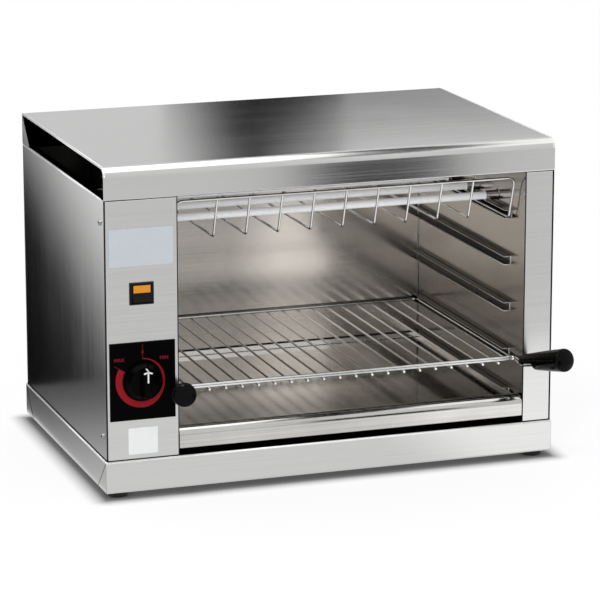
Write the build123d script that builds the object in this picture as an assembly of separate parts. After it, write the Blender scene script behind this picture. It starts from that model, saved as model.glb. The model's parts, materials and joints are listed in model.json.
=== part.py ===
from build123d import *

import os
from math import cos, radians, sin

# Counter-top salamander grill, in millimetres.
# X runs to the right, Y to the back, Z up. The pieces are drawn round the middle of the body, and at the
# end all move together until the origin lies on the counter under the middle of the whole grill.

# Sheet metal
sheet = 1.0
inner_bend = 1.0
bend = inner_bend + sheet
overrun = 10.0
seat_gap = 0.5

# Body
body_width = 600.0
body_depth = 400.0
base_height = 41.0
post_height = 330.0
cover_height = 41.0
base_reveal = 2.0
cover_reveal = 1.0
control_width = 92.5
column_width = 38.0
back_space = 18.0

# Base pan
base_flange = 40.0
base_mouth_corner = 12.0
seam_gap = 0.6
seam_run = 38.0

# Feet and their screws
foot_height = 8.0
foot_radius = 14.0
foot_taper = 1.5
foot_edge = 1.5
foot_inset = 20.0
foot_recess_radius = 6.5
foot_recess = 4.0
foot_screw_radius = 2.5
foot_screw_head_radius = 5.0
foot_screw_head = 3.0
foot_screw_reach = 5.0

# Panels and posts
panel_flange = 12.0
post_flange = 28.0
wall_flange = 15.0
ceiling_drop = 2.0
ceiling_flange = 10.0

# Cover
cover_bend = 12.0
cover_return = 14.0
cover_tab_run = 36.0

# Panel screws
screw_radius = 2.0
screw_head_radius = 3.8
screw_head = 2.2
screw_head_edge = 1.2
screw_length = 8.0
screw_clearance = 0.3
side_screw_setback = 17.0
side_screw_end = 29.0
back_screw_end = 24.0

# Back panel openings
vent_slot_width = 4.0
vent_slot_height = 44.0
vent_slot_pitch = 12.0
vent_slot_count = 5
vent_slot_level = 215.0

# C rails
rail_depth = 10.0
rail_height = 12.0
rail_inner_bend = 0.5
rail_setback = 47.0
rail_back_gap = 2.0
tray_rail_level = 22.5
rack_rail_level = 76.0
guard_rail_drop = 70.1
rail_steps = 3
run_clearance = 0.3

# Quartz tubes
tube_count = 4
tube_radius = 5.0
tube_wall = 1.0
tube_overlap = 8.0
tube_setback = 95.0
tube_pitch = 66.0
tube_drop = 47.5
coil_radius = 3.4
cap_radius = 6.2
cap_fit = 0.1
cap_inside = 18.0
cap_outside = 16.0
cap_stud_radius = 2.0
cap_stud = 7.0
tube_hole_radius = 7.5
bracket_offset = 10.0
bracket_half_height = 14.0
bracket_end = 20.0
bracket_leg = 12.0
bracket_fit = 0.2

# Wire guard
guard_radius = 1.75
guard_bar_radius = 1.5
guard_bar_count = 9
guard_bar_side_gap = 55.55
guard_rail_inset = 6.0
guard_foot_setback = 43.0
guard_top_setback = 24.0
guard_rise = 55.5
guard_foot_bend = 6.0
guard_corner_bend = 10.0
guard_back_gap = 12.0

# Wire rack
rack_wire_radius = 2.0
rack_rail_inset = 3.6
rack_corner_bend = 8.0
rack_front_setback = 25.0
rack_back_gap = 5.0
front_wire_radius = 1.5
front_wire_bend = 4.5
front_wire_overhang = 1.25
grid_radius = 1.5
grid_count = 20
grid_side_gap = 22.525
grid_tip = 2.5
weld_gap = 0.1

# Rack handles
handle_reach = 26.0
handle_base_radius = 9.25
handle_waist_radius = 12.8
handle_tip_radius = 15.0
handle_length = 92.0
handle_dome = 4.0
handle_tip_edge = 3.0
handle_base_edge = 1.0
handle_start = 4.0
handle_axis_drop = 0.5
handle_splay = 13.5
handle_tilt = 13.6
handle_wire_bend = 8.0
lower_wire_drop = 3.0
upper_wire_grip = 22.0
lower_wire_grip = 10.0
handle_notch = 30.0
handle_notch_level = 2.2
handle_fit = 0.1

# Drip tray
tray_side_gap = 0.75
tray_back_gap = 5.0
tray_wall = 7.5
tray_lip_height = 27.0
tray_lip_level = 9.0
tray_lip_depth = 14.0
tray_slope = 20.0
tray_hem = 6.0
tray_front_bend = 10.0
tray_floor_bend = 6.0
tray_hem_bend = 1.5

# Rocker switch
switch_level = 212.0
bezel_width = 31.0
bezel_height = 28.0
bezel_thickness = 2.5
bezel_edge = 1.0
switch_body_width = 28.0
switch_body_height = 25.4
switch_body_depth = 22.0
switch_cut_clearance = 0.25
switch_floor = 4.0
rocker_width = 24.0
rocker_height = 22.0
rocker_gap = 0.3
rocker_sweep_room = 0.7
rocker_pivot_depth = 3.0
rocker_proud = 1.9
rocker_middle = 0.2
rocker_shoulder = 1.0
rocker_depth = 9.0
rocker_keel_share = 0.45
rocker_throw = 18.0
pivot_radius = 1.5
pivot_fit = 0.05
pivot_length = 1.2
lens_margin = 1.2
lens_depth = 1.2
blade_width = 6.3
blade_thickness = 0.8
blade_length = 10.0
blade_spacing = 12.0

# Dial, regulator and knob
dial_level = 101.0
dial_width = 84.0
dial_height = 99.0
dial_thickness = 1.5
regulator_width = 46.0
regulator_height = 46.0
regulator_depth = 34.0
regulator_edge = 2.0
bushing_radius = 5.0
bushing_clearance = 0.2
bushing_end = 1.0
nut_flats_radius = 7.0
nut_thickness = 3.0
shaft_radius = 3.0
shaft_fit = 0.05
shaft_in_regulator = 10.0
shaft_in_knob = 16.0
knob_lift = 0.6
knob_radius = 24.0
knob_skirt = 7.0
knob_crown_radius = 19.0
knob_crown = 4.0
knob_height = 24.0
knob_edge = 1.5
knob_recess_radius = 9.5
knob_recess = 6.0
grip_width = 12.0
grip_length = 40.0
grip_taper = 6.0

# Terminal block and cable gland
terminal_width = 52.0
terminal_depth = 22.0
terminal_height = 20.0
terminal_back_gap = 40.0
terminal_ways = 3
terminal_well_radius = 3.5
terminal_well = 12.0
gland_level = 36.0
gland_bore_radius = 4.5
gland_thread_radius = 7.8
gland_thread = 14.0
gland_flange_radius = 12.0
gland_flange = 6.0
gland_dome_radius = 10.0
gland_dome = 12.0
gland_dome_edge = 3.0
gland_hole_clearance = 0.2
gland_nut_flats_radius = 11.0
gland_nut = 4.0

# Planes that the pieces share
base_bottom = foot_height
base_top = base_bottom + base_height
lip_bottom = base_top + post_height
cover_top = lip_bottom + cover_height
panel_x = body_width / 2 - base_reveal
panel_front = -body_depth / 2 + base_reveal
panel_back = body_depth / 2 - base_reveal
cavity_left = -panel_x + control_width
cavity_right = panel_x - column_width
cavity_middle = (cavity_left + cavity_right) / 2
cavity_half = (cavity_right - cavity_left) / 2
wall_back = panel_back - back_space
ceiling_bottom = lip_bottom - ceiling_drop
control_x = (cavity_left - panel_x + sheet) / 2
switch_z = base_top + switch_level
dial_z = base_top + dial_level
rail_bend = rail_inner_bend + sheet
rack_rail = base_top + rack_rail_level
guard_rail = lip_bottom - guard_rail_drop
rail_pitch = (guard_rail - rack_rail) / rail_steps
rail_levels = {
    "tray": base_top + tray_rail_level,
    "rack": rack_rail,
    "middle": rack_rail + rail_pitch,
    "upper": rack_rail + 2 * rail_pitch,
    "guard": guard_rail,
}
tube_rows = [panel_front + tube_setback + row * tube_pitch for row in range(tube_count)]
tube_z = lip_bottom - tube_drop
side_screw_y = panel_front + side_screw_setback
side_screw_rows = (base_top + side_screw_end, lip_bottom - side_screw_end)
back_screw_x = panel_x - panel_flange / 2 - sheet
back_screw_rows = (base_top + back_screw_end, (base_top + lip_bottom) / 2, lip_bottom - back_screw_end)


# Shared shapes

standing = (Align.CENTER, Align.CENTER, Align.MIN)


def block(x_range, y_range, z_range):
    """Square block between two planes on each axis."""
    size = [high - low for low, high in (x_range, y_range, z_range)]
    middle = [(high + low) / 2 for low, high in (x_range, y_range, z_range)]
    return Pos(*middle) * Box(*size)


def rod(start, end, radius):
    """Straight round rod between two points."""
    start, end = Vector(*start), Vector(*end)
    axis = end - start
    base = Plane(origin=start, z_dir=axis)
    return extrude(base * Circle(radius), axis.length)


def bent_wire(points, bends, radius):
    """Round wire along straight runs, with one bend radius for each corner."""
    path = FilletPolyline(*points, radius=bends)
    base = Plane(origin=path @ 0, z_dir=path % 0)
    return sweep(base * Circle(radius), path=path)


def folded_section(points, bends):
    """Section of a folded sheet, whose metal lies to the right of the outline."""
    outline = FilletPolyline(*points, radius=bends)
    return make_face(offset(outline, amount=sheet, side=Side.RIGHT))


def facing_front(x, y, z):
    """Plane at a point, with its own Z towards the front and its own Y up."""
    return Plane(origin=(x, y, z), x_dir=(1, 0, 0), z_dir=(0, -1, 0))


def edge_along(shape, axis, **places):
    """Edges parallel to an axis whose middle lies at the given places."""
    found = shape.edges().filter_by(axis)
    for name, value in places.items():
        found = [edge for edge in found if abs(getattr(edge.center(), name) - value) < seam_gap]
    return found


def spread(first, last, count):
    """Evenly spaced places from the first to the last."""
    step = (last - first) / (count - 1)
    return [first + index * step for index in range(count)]


def on_both_sides(shape):
    """A shape and its mirror image about the middle of the cavity."""
    return [shape, mirror(shape, Plane.YZ.offset(cavity_middle))]


# Base and feet

def foot_places():
    """Middles of the four feet, by name."""
    x = body_width / 2 - foot_inset
    y = body_depth / 2 - foot_inset
    return {"front_left": (-x, -y), "front_right": (x, -y), "back_left": (-x, y), "back_right": (x, y)}


def base_pan():
    """Folded base, open below inside a flange that carries the feet."""
    half_x = body_width / 2
    half_y = body_depth / 2
    pan = block((-half_x, half_x), (-half_y, half_y), (base_bottom, base_top))
    pan = fillet(pan.edges(), bend)
    inner_x = half_x - sheet
    inner_y = half_y - sheet
    hollow = block((-inner_x, inner_x), (-inner_y, inner_y), (base_bottom + sheet, base_top - sheet))
    pan -= fillet(hollow.edges(), inner_bend)
    mouth_x = half_x - base_flange
    mouth_y = half_y - base_flange
    mouth = block((-mouth_x, mouth_x), (-mouth_y, mouth_y), (base_bottom - overrun, base_bottom + bend))
    pan -= fillet(mouth.edges().filter_by(Axis.Z), base_mouth_corner)
    for x, y in foot_places().values():
        pan -= rod((x, y, 0), (x, y, base_bottom + bend), foot_screw_radius + screw_clearance)
    return pan - corner_seams(half_x, half_y)


def corner_seams(half_x, half_y):
    """Slanted slits on the side walls, where the front and rear walls wrap round the corners."""
    top = base_top - bend
    bottom = base_bottom + bend
    slits = []
    for front in (-1, 1):
        upper = front * (half_y - bend)
        lower = front * (half_y - seam_run)
        gap = -front * seam_gap
        slit = Polyline((upper, top), (upper + gap, top), (lower + gap, bottom), (lower, bottom), close=True)
        face = Plane.YZ * make_face(slit)
        for side in (-1, 1):
            slits.append(extrude(Pos(side * (half_x - bend), 0, 0) * face, side * (bend + overrun)))
    return slits


def rubber_foot(x, y):
    """Tapered rubber foot with a recess for its screw."""
    foot = Cone(foot_radius - foot_taper, foot_radius, foot_height, align=standing)
    foot = fillet(foot.edges().group_by(Axis.Z)[0], foot_edge)
    foot -= Cylinder(foot_recess_radius, 2 * foot_recess)
    foot -= Cylinder(foot_screw_radius + screw_clearance, 2 * (foot_height + overrun))
    return Pos(x, y, 0) * foot


def foot_screws():
    """One pan-head screw up through each foot and the base flange."""
    screws = []
    for x, y in foot_places().values():
        head = rod((x, y, foot_recess - foot_screw_head), (x, y, foot_recess), foot_screw_head_radius)
        shank = rod((x, y, foot_recess), (x, y, base_bottom + sheet + foot_screw_reach), foot_screw_radius)
        screws.append(head + shank)
    return screws


# Outer panels

def side_panel():
    """Right side panel, folded in along its top and rear edges."""
    outer_y = (panel_front + sheet, panel_back - sheet)
    panel = block((panel_x - panel_flange, panel_x), outer_y, (base_top, lip_bottom))
    folds = edge_along(panel, Axis.Y, X=panel_x, Z=lip_bottom)
    folds += edge_along(panel, Axis.Z, X=panel_x, Y=panel_back - sheet)
    panel = fillet(folds, bend)
    inside_x = (panel_x - panel_flange - overrun, panel_x - sheet)
    inside_y = (panel_front - overrun, panel_back - 2 * sheet)
    core = block(inside_x, inside_y, (base_top - overrun, lip_bottom - sheet))
    folds = edge_along(core, Axis.Y, X=panel_x - sheet, Z=lip_bottom - sheet)
    folds += edge_along(core, Axis.Z, X=panel_x - sheet, Y=panel_back - 2 * sheet)
    panel -= fillet(folds, inner_bend)
    notch_y = (panel_front - overrun, panel_front + post_flange + seat_gap)
    panel -= block(inside_x, notch_y, (lip_bottom - bend, lip_bottom + overrun))
    for z in side_screw_rows:
        panel -= rod((panel_x - bend, side_screw_y, z), (panel_x + overrun, side_screw_y, z), screw_hole())
    for z in back_screw_rows:
        start = (back_screw_x, panel_back - sheet - bend, z)
        panel -= rod(start, (back_screw_x, panel_back + overrun, z), screw_hole())
    return panel


def screw_hole():
    """Radius of the holes that panel screws pass through."""
    return screw_radius + screw_clearance


def folded_post(x_outer, x_inner):
    """Post sheet, folded back along its outer edge and its top."""
    x_range = tuple(sorted((x_outer, x_inner)))
    outward = 1 if x_outer > x_inner else -1
    post = block(x_range, (panel_front, panel_front + post_flange), (base_top, lip_bottom))
    folds = edge_along(post, Axis.Z, X=x_outer, Y=panel_front)
    folds += edge_along(post, Axis.X, Y=panel_front, Z=lip_bottom)
    post = fillet(folds, bend)
    core_x = tuple(sorted((x_outer - outward * sheet, x_inner - outward * overrun)))
    core_y = (panel_front + sheet, panel_front + post_flange + overrun)
    core = block(core_x, core_y, (base_top - overrun, lip_bottom - sheet))
    folds = edge_along(core, Axis.Z, X=x_outer - outward * sheet, Y=panel_front + sheet)
    folds += edge_along(core, Axis.X, Y=panel_front + sheet, Z=lip_bottom - sheet)
    post -= fillet(folds, inner_bend)
    for z in side_screw_rows:
        start = (x_outer - outward * bend, side_screw_y, z)
        post -= rod(start, (x_outer + outward * overrun, side_screw_y, z), screw_hole())
    return post


def control_panel():
    """Left post, with the openings for the switch and the regulator."""
    panel = folded_post(-panel_x + sheet, cavity_left)
    cut_half = switch_body_width / 2 + switch_cut_clearance
    cut_rise = switch_body_height / 2 + switch_cut_clearance
    depth = (panel_front - overrun, panel_front + overrun)
    cut_x = (control_x - cut_half, control_x + cut_half)
    panel -= block(cut_x, depth, (switch_z - cut_rise, switch_z + cut_rise))
    hole = bushing_radius + bushing_clearance
    panel -= rod((control_x, depth[0], dial_z), (control_x, depth[1], dial_z), hole)
    return panel


def right_column():
    """Right post beside the cavity."""
    return folded_post(panel_x - sheet, cavity_right)


def back_panel():
    """Rear sheet, folded forward along its top, with vent slots and the gland's hole."""
    panel = block((-panel_x, panel_x), (panel_back - panel_flange, panel_back), (base_top, lip_bottom))
    panel = fillet(edge_along(panel, Axis.X, Y=panel_back, Z=lip_bottom), bend)
    core_y = (panel_back - panel_flange - overrun, panel_back - sheet)
    core = block((-panel_x - overrun, panel_x + overrun), core_y, (base_top - overrun, lip_bottom - sheet))
    panel -= fillet(edge_along(core, Axis.X, Y=panel_back - sheet, Z=lip_bottom - sheet), inner_bend)
    inner_x = panel_x - panel_flange - seat_gap
    notch_y = (panel_back - panel_flange - overrun, panel_back - sheet)
    for side in (-1, 1):
        notch_x = tuple(sorted((side * inner_x, side * (panel_x + overrun))))
        panel -= block(notch_x, notch_y, (lip_bottom - bend, lip_bottom + overrun))
        for z in back_screw_rows:
            start = (side * back_screw_x, panel_back - bend, z)
            panel -= rod(start, (side * back_screw_x, panel_back + overrun, z), screw_hole())
    gland_hole = gland_thread_radius + gland_hole_clearance
    gland_z = base_top + gland_level
    gland_start = (control_x, panel_back - bend, gland_z)
    panel -= rod(gland_start, (control_x, panel_back + overrun, gland_z), gland_hole)
    return panel - vent_slots()


def vent_slots():
    """Two rows of upright slots, behind the control side and behind the column."""
    column_x = (cavity_right + panel_x) / 2
    slot = SlotOverall(vent_slot_height, vent_slot_width, rotation=90)
    cuts = []
    for middle, count in ((control_x, vent_slot_count), (column_x, 1)):
        first = middle - vent_slot_pitch * (count - 1) / 2
        for index in range(count):
            x = first + index * vent_slot_pitch
            plane = facing_front(x, panel_back + overrun, base_top + vent_slot_level)
            cuts.append(extrude(plane * slot, overrun + bend))
    return cuts


def top_cover():
    """Folded cover: rounded front lip, flat top, rear flange with a tapered tab at each end."""
    edge_y = panel_back + cover_reveal
    outline = [
        (-edge_y + cover_return, lip_bottom),
        (-edge_y, lip_bottom),
        (-edge_y, cover_top),
        (edge_y, cover_top),
        (edge_y, lip_bottom),
        (edge_y - cover_return, lip_bottom),
    ]
    section = folded_section(outline, [bend, cover_bend, bend, bend])
    cover = extrude(Plane.YZ * section, panel_x, both=True)
    tab = Polyline(
        (edge_y - sheet, cover_top - bend),
        (edge_y - sheet, lip_bottom + sheet),
        (edge_y - cover_tab_run, lip_bottom + sheet),
        close=True,
    )
    face = Plane.YZ * make_face(tab)
    for side in (-1, 1):
        cover += extrude(Pos(side * panel_x, 0, 0) * face, -side * sheet)
    return cover


def pan_screw(seat, inward):
    """Pan-head screw on a seat, with its shank pointing inward."""
    plane = Plane(origin=seat, z_dir=Vector(*inward) * -1)
    head = extrude(Circle(screw_head_radius), screw_head)
    head = fillet(head.edges().group_by(Axis.Z)[-1], screw_head_edge)
    return plane * (head + extrude(Circle(screw_radius), -screw_length))


def side_screws():
    """Front screws of the two side panels."""
    screws = []
    for side in (-1, 1):
        for z in side_screw_rows:
            screws.append(pan_screw((side * panel_x, side_screw_y, z), (-side, 0, 0)))
    return screws


def back_screws():
    """Screws that hold the back panel to the side panels."""
    screws = []
    for side in (-1, 1):
        for z in back_screw_rows:
            screws.append(pan_screw((side * back_screw_x, panel_back, z), (0, -1, 0)))
    return screws


# Cavity

def cavity_wall():
    """Right cavity wall, folded out behind the column, with holes for the tube ends."""
    y_range = (panel_front + sheet, wall_back + sheet)
    wall = block((cavity_right, cavity_right + wall_flange), y_range, (base_top, ceiling_bottom))
    wall = fillet(edge_along(wall, Axis.Z, X=cavity_right, Y=y_range[0]), bend)
    core_y = (y_range[0] + sheet, y_range[1] + overrun)
    core_x = (cavity_right + sheet, cavity_right + wall_flange + overrun)
    core = block(core_x, core_y, (base_top - overrun, ceiling_bottom + overrun))
    wall -= fillet(edge_along(core, Axis.Z, X=core_x[0], Y=core_y[0]), inner_bend)
    for y in tube_rows:
        wall -= rod((cavity_right - overrun, y, tube_z), (cavity_right + bend, y, tube_z), tube_hole_radius)
    return wall


def cavity_back():
    """Flat back wall, with an open seam to each side wall."""
    x_range = (cavity_left + seam_gap, cavity_right - seam_gap)
    return block(x_range, (wall_back, wall_back + sheet), (base_top, ceiling_bottom))


def ceiling():
    """Polished plate over the tubes, folded up along its front edge."""
    front = panel_front + post_flange + seat_gap
    outline = [
        (wall_back + sheet, ceiling_bottom),
        (front, ceiling_bottom),
        (front, ceiling_bottom + ceiling_flange),
    ]
    section = folded_section(outline, [bend])
    plate = extrude(Plane.YZ * section, cavity_half + sheet, both=True)
    return Pos(cavity_middle, 0, 0) * plate


def rail(level):
    """Right C rail of one level, open towards the cavity."""
    tip = cavity_right - rail_depth
    top = level + rail_height
    outline = [(tip, top), (cavity_right, top), (cavity_right, level), (tip, level)]
    section = folded_section(outline, [rail_bend, rail_bend])
    front = panel_front + rail_setback
    length = wall_back - rail_back_gap - front
    return Pos(0, front, 0) * extrude(Plane.XZ * section, length, dir=(0, 1, 0))


# Heating

def tube_ends():
    """Left and right ends of every quartz tube."""
    return cavity_left - tube_overlap, cavity_right + tube_overlap


def quartz_tube(y):
    """Hollow quartz tube across the cavity."""
    left, right = tube_ends()
    tube = rod((left, y, tube_z), (right, y, tube_z), tube_radius)
    return tube - rod((left - overrun, y, tube_z), (right + overrun, y, tube_z), tube_radius - tube_wall)


def heating_coils():
    """Outer form of the wound heating wire in each tube."""
    left, right = tube_ends()
    return [rod((left, y, tube_z), (right, y, tube_z), coil_radius) for y in tube_rows]


def tube_cap(y):
    """Right metal cap of one tube, with its terminal stud."""
    inner = cavity_right - cap_inside
    outer = cavity_right + cap_outside
    cap = rod((inner, y, tube_z), (outer, y, tube_z), cap_radius)
    cap -= rod((inner - overrun, y, tube_z), (tube_ends()[1], y, tube_z), tube_radius + cap_fit)
    return cap + rod((outer, y, tube_z), (outer + cap_stud, y, tube_z), cap_stud_radius)


def tube_bracket():
    """Right folded strip outside the cavity that carries the tube caps."""
    wall_x = cavity_right + sheet
    plate_x = wall_x + bracket_offset
    low = tube_z - bracket_half_height
    leg_x = wall_x + sheet
    outline = [
        (plate_x, tube_z + bracket_half_height),
        (plate_x, low),
        (leg_x, low),
        (leg_x, low - bracket_leg),
    ]
    section = folded_section(outline, [bend, bend])
    front = tube_rows[0] - bracket_end
    length = tube_rows[-1] + bracket_end - front
    strip = Pos(0, front, 0) * extrude(Plane.XZ * section, length, dir=(0, 1, 0))
    for y in tube_rows:
        strip -= rod((wall_x, y, tube_z), (plate_x + overrun, y, tube_z), cap_radius + bracket_fit)
    return strip


def guard_line(x):
    """Crown, foot and back of the guard's outer wire, in the upright plane at X."""
    level = rail_levels["guard"] + sheet + guard_radius + run_clearance
    crown = Vector(x, panel_front + guard_top_setback, level + guard_rise)
    foot = Vector(x, panel_front + guard_foot_setback, level)
    back = Vector(x, wall_back - guard_back_gap, level)
    return crown, foot, back


def guard_frame():
    """Outer wire of the guard under and in front of the tubes, held in the top pair of rails."""
    half = cavity_half - guard_rail_inset
    left_crown, left_foot, left_back = guard_line(cavity_middle - half)
    right_crown, right_foot, right_back = guard_line(cavity_middle + half)
    tail = Vector(0, guard_radius, 0)
    outer = [left_back + tail, left_foot, left_crown, right_crown, right_foot, right_back + tail]
    bends = [guard_foot_bend, guard_corner_bend, guard_corner_bend, guard_foot_bend]
    return bent_wire(outer, bends, guard_radius) + rod(left_back, right_back, guard_bar_radius)


def guard_bars():
    """Bent wires welded on the inside of the guard's outer wire."""
    inset = guard_radius + guard_bar_radius + weld_gap
    up = Vector(0, 0, 1)
    half = cavity_half - guard_rail_inset - guard_bar_side_gap
    bars = []
    for x in spread(cavity_middle - half, cavity_middle + half, guard_bar_count):
        crown, foot, back = guard_line(x)
        inward = (crown - foot).cross(Vector(1, 0, 0)).normalized()
        mitre = (inward + up) * (inset / (1 + inward.dot(up)))
        points = [crown + inward * inset, foot + mitre, back + up * inset + Vector(0, guard_radius, 0)]
        bars.append(bent_wire(points, [guard_foot_bend], guard_bar_radius))
    return bars


# Wire rack

def rack_level():
    """Height of the middle of the rack's outer wire."""
    return rail_levels["rack"] + sheet + rack_wire_radius + run_clearance


def rack_places():
    """Left, right, front and back middles of the rack's outer wires."""
    half = cavity_half - rack_rail_inset
    return (
        cavity_middle - half,
        cavity_middle + half,
        panel_front + rack_front_setback,
        wall_back - rack_back_gap,
    )


def grip_direction(side):
    """Direction in which a handle points, out of the rack's corner."""
    flat = cos(radians(handle_tilt))
    return Vector(
        side * sin(radians(handle_splay)) * flat,
        -cos(radians(handle_splay)) * flat,
        sin(radians(handle_tilt)),
    )


def front_wire_levels():
    """Heights of the upper and lower front wires, the lower one level with the underside of the frame."""
    lower = rack_level() - rack_wire_radius + front_wire_radius
    return lower + 2 * front_wire_radius + weld_gap, lower


def front_corner(side, z):
    """Corner of a front wire, a little outside the frame's side wire."""
    left, right, front, back = rack_places()
    x = right if side > 0 else left
    return Vector(x + side * front_wire_overhang, front, z)


def grip_points(side):
    """Where the upper and lower front wires turn into a handle."""
    upper_z, lower_z = front_wire_levels()
    reach = Vector(0, handle_reach, 0)
    upper = front_corner(side, upper_z) - reach
    lower = front_corner(side, lower_z - lower_wire_drop) - reach
    return upper, lower


def front_wire(corner_z, turns, grip):
    """Front wire that runs on past both corners into the handles."""
    points = [
        turns[0] + grip_direction(-1) * grip,
        turns[0],
        front_corner(-1, corner_z),
        front_corner(1, corner_z),
        turns[1],
        turns[1] + grip_direction(1) * grip,
    ]
    bends = [handle_wire_bend, front_wire_bend, front_wire_bend, handle_wire_bend]
    return bent_wire(points, bends, front_wire_radius)


def upper_grip():
    """Length of the upper front wire from its turn to its end in the handle."""
    return handle_start + upper_wire_grip


def lower_grip():
    """Length of the lower front wire from its turn to its end in the handle."""
    return handle_start + handle_notch + lower_wire_grip


def rack_frame():
    """Outer wire of the rack, along its sides and back."""
    left, right, front, back = rack_places()
    level = rack_level()
    end = front + front_wire_radius + weld_gap
    sides = [(left, end, level), (left, back, level), (right, back, level), (right, end, level)]
    return bent_wire(sides, [rack_corner_bend, rack_corner_bend], rack_wire_radius)


def rack_front_wires():
    """Two stacked front wires, whose ends carry the handles."""
    upper_z, lower_z = front_wire_levels()
    upper_turns, lower_turns = zip(grip_points(-1), grip_points(1))
    return [front_wire(upper_z, upper_turns, upper_grip()), front_wire(lower_z, lower_turns, lower_grip())]


def rack_grid():
    """Straight grid wires from back to front, under the back wire and the front wires."""
    left, right, front, back = rack_places()
    level = rack_level() - rack_wire_radius - grid_radius - weld_gap
    tip = front - front_wire_radius - grid_tip
    wires = []
    for x in spread(left + grid_side_gap, right - grid_side_gap, grid_count):
        wires.append(rod((x, tip, level), (x, back + rack_wire_radius, level), grid_radius))
    return wires


def rack_handle(side):
    """Tapered moulded handle over the ends of the two front wires."""
    along = grip_direction(side)
    upper, lower = grip_points(side)
    across = Vector(0, 0, 1).cross(along).normalized()
    up = along.cross(across)
    base = upper + along * handle_start - up * handle_axis_drop
    place = Plane(origin=base, x_dir=across, z_dir=along)
    rim = (handle_tip_radius, handle_length - handle_dome)
    with BuildLine() as outline:
        rise = Line((0, 0), (handle_base_radius, 0))
        ThreePointArc(rise @ 1, (handle_waist_radius, handle_length / 2), rim)
        dome = TangentArc((0, handle_length), rim, tangent=(1, 0))
        Line(dome @ 0, rise @ 0)
    grip = revolve(Plane.XZ * make_face(outline.line), Axis.Z)
    rings = grip.edges().filter_by(lambda edge: edge.is_closed).sort_by(Axis.Z)
    grip = fillet(rings[-1], handle_tip_edge)
    grip = fillet(grip.edges().group_by(Axis.Z)[0], handle_base_edge)
    reach = handle_tip_radius + overrun
    notch_rise = (-reach, -handle_notch_level)
    grip -= block((-reach, reach), notch_rise, (-overrun, handle_notch))
    grip = place * grip
    bore = front_wire_radius + handle_fit
    for start, length in ((upper, upper_grip()), (lower, lower_grip())):
        grip -= rod(start, start + along * (length + handle_fit), bore)
    return grip


# Drip tray

def drip_tray():
    """Shallow tray in the lowest rails, with a rolled front that hangs as an apron."""
    half = cavity_half - sheet - tray_side_gap
    floor = rail_levels["tray"] + sheet + run_clearance
    back = wall_back - tray_back_gap
    apron = panel_front + sheet
    apron_bottom = base_top + tray_lip_level
    apron_top = apron_bottom + tray_lip_height - sheet
    outline = [
        (back, floor + tray_wall),
        (back, floor),
        (apron + tray_lip_depth + tray_slope, floor),
        (apron + tray_lip_depth, apron_top),
        (apron, apron_top),
        (apron, apron_bottom),
        (apron + tray_hem, apron_bottom),
    ]
    bends = [bend, tray_floor_bend, tray_floor_bend, tray_front_bend, tray_hem_bend]
    section = folded_section(outline, bends)
    tray = extrude(Plane.YZ * section, half, both=True)
    side_y = (apron + tray_lip_depth + tray_slope, back)
    for side in (-1, 1):
        side_x = tuple(sorted((side * half, side * (half - sheet))))
        tray += block(side_x, side_y, (floor, floor + tray_wall))
    return Pos(cavity_middle, 0, 0) * tray


# Rocker switch

def switch_plane():
    """Front face of the switch bezel, with Y up and Z towards the front."""
    return facing_front(control_x, panel_front - bezel_thickness, switch_z)


def switch_housing():
    """Bezel and body of the switch, hollow for the rocker."""
    bezel = extrude(Rectangle(bezel_width, bezel_height), -bezel_thickness)
    bezel = chamfer(bezel.faces().sort_by(Axis.Z)[-1].edges(), bezel_edge)
    body = Pos(0, 0, -bezel_thickness) * extrude(
        Rectangle(switch_body_width, switch_body_height), -switch_body_depth
    )
    pocket_width = rocker_width + 2 * rocker_gap
    pocket_height = rocker_height + 2 * (rocker_gap + rocker_sweep_room)
    depth = bezel_thickness + switch_body_depth - switch_floor
    pocket = extrude(Rectangle(pocket_width, pocket_height), -depth)
    axle = rod(
        (-rocker_width / 2 - rocker_gap - pivot_length, 0, -rocker_pivot_depth),
        (rocker_width / 2 + rocker_gap + pivot_length, 0, -rocker_pivot_depth),
        pivot_radius + pivot_fit,
    )
    return switch_plane() * (bezel + body - pocket - axle)


def rocker_turned(shape):
    """A piece of the level rocker, turned to its rest position."""
    turn = Pos(0, 0, -rocker_pivot_depth) * Rot(-rocker_throw / 2, 0, 0) * Pos(0, 0, rocker_pivot_depth)
    return switch_plane() * (turn * shape)


def lens_block():
    """Level lens in the upper half of the rocker's face."""
    half = rocker_height / 2
    rise = rocker_proud - rocker_middle
    low = lens_margin / 2
    high = half - lens_margin

    def face_at(y):
        """Height of the rocker's slanted face at a distance from its middle."""
        return rocker_middle + rise * y / half

    outline = Polyline(
        (low, face_at(low)),
        (high, face_at(high)),
        (high, face_at(high) - lens_depth),
        (low, face_at(low) - lens_depth),
        close=True,
    )
    return extrude(Plane.YZ * make_face(outline), rocker_width / 2 - lens_margin, both=True)


def level_rocker():
    """Rocker with its two slanted faces, before it is turned to rest."""
    half = rocker_height / 2
    keel = half * rocker_keel_share
    outline = Polyline(
        (0, rocker_middle),
        (half, rocker_proud),
        (half, -rocker_shoulder),
        (keel, -rocker_depth),
        (-keel, -rocker_depth),
        (-half, -rocker_shoulder),
        (-half, rocker_proud),
        close=True,
    )
    rocker = extrude(Plane.YZ * make_face(outline), rocker_width / 2, both=True)
    axle_half = rocker_width / 2 + pivot_length
    axle = rod((-axle_half, 0, -rocker_pivot_depth), (axle_half, 0, -rocker_pivot_depth), pivot_radius)
    return rocker + axle


def switch_rocker():
    """Black rocker on its two stub axles."""
    return rocker_turned(level_rocker() - lens_block())


def switch_lens():
    """Amber lens let into the rocker."""
    return rocker_turned(lens_block())


def switch_terminals():
    """Four flat terminals behind the switch."""
    back = -bezel_thickness - switch_body_depth
    blades = []
    for x in (-blade_spacing / 2, blade_spacing / 2):
        for y in (-blade_spacing / 2, blade_spacing / 2):
            blade = extrude(Rectangle(blade_thickness, blade_width), -blade_length)
            blades.append(switch_plane() * Pos(x, y, back) * blade)
    return blades


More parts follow.
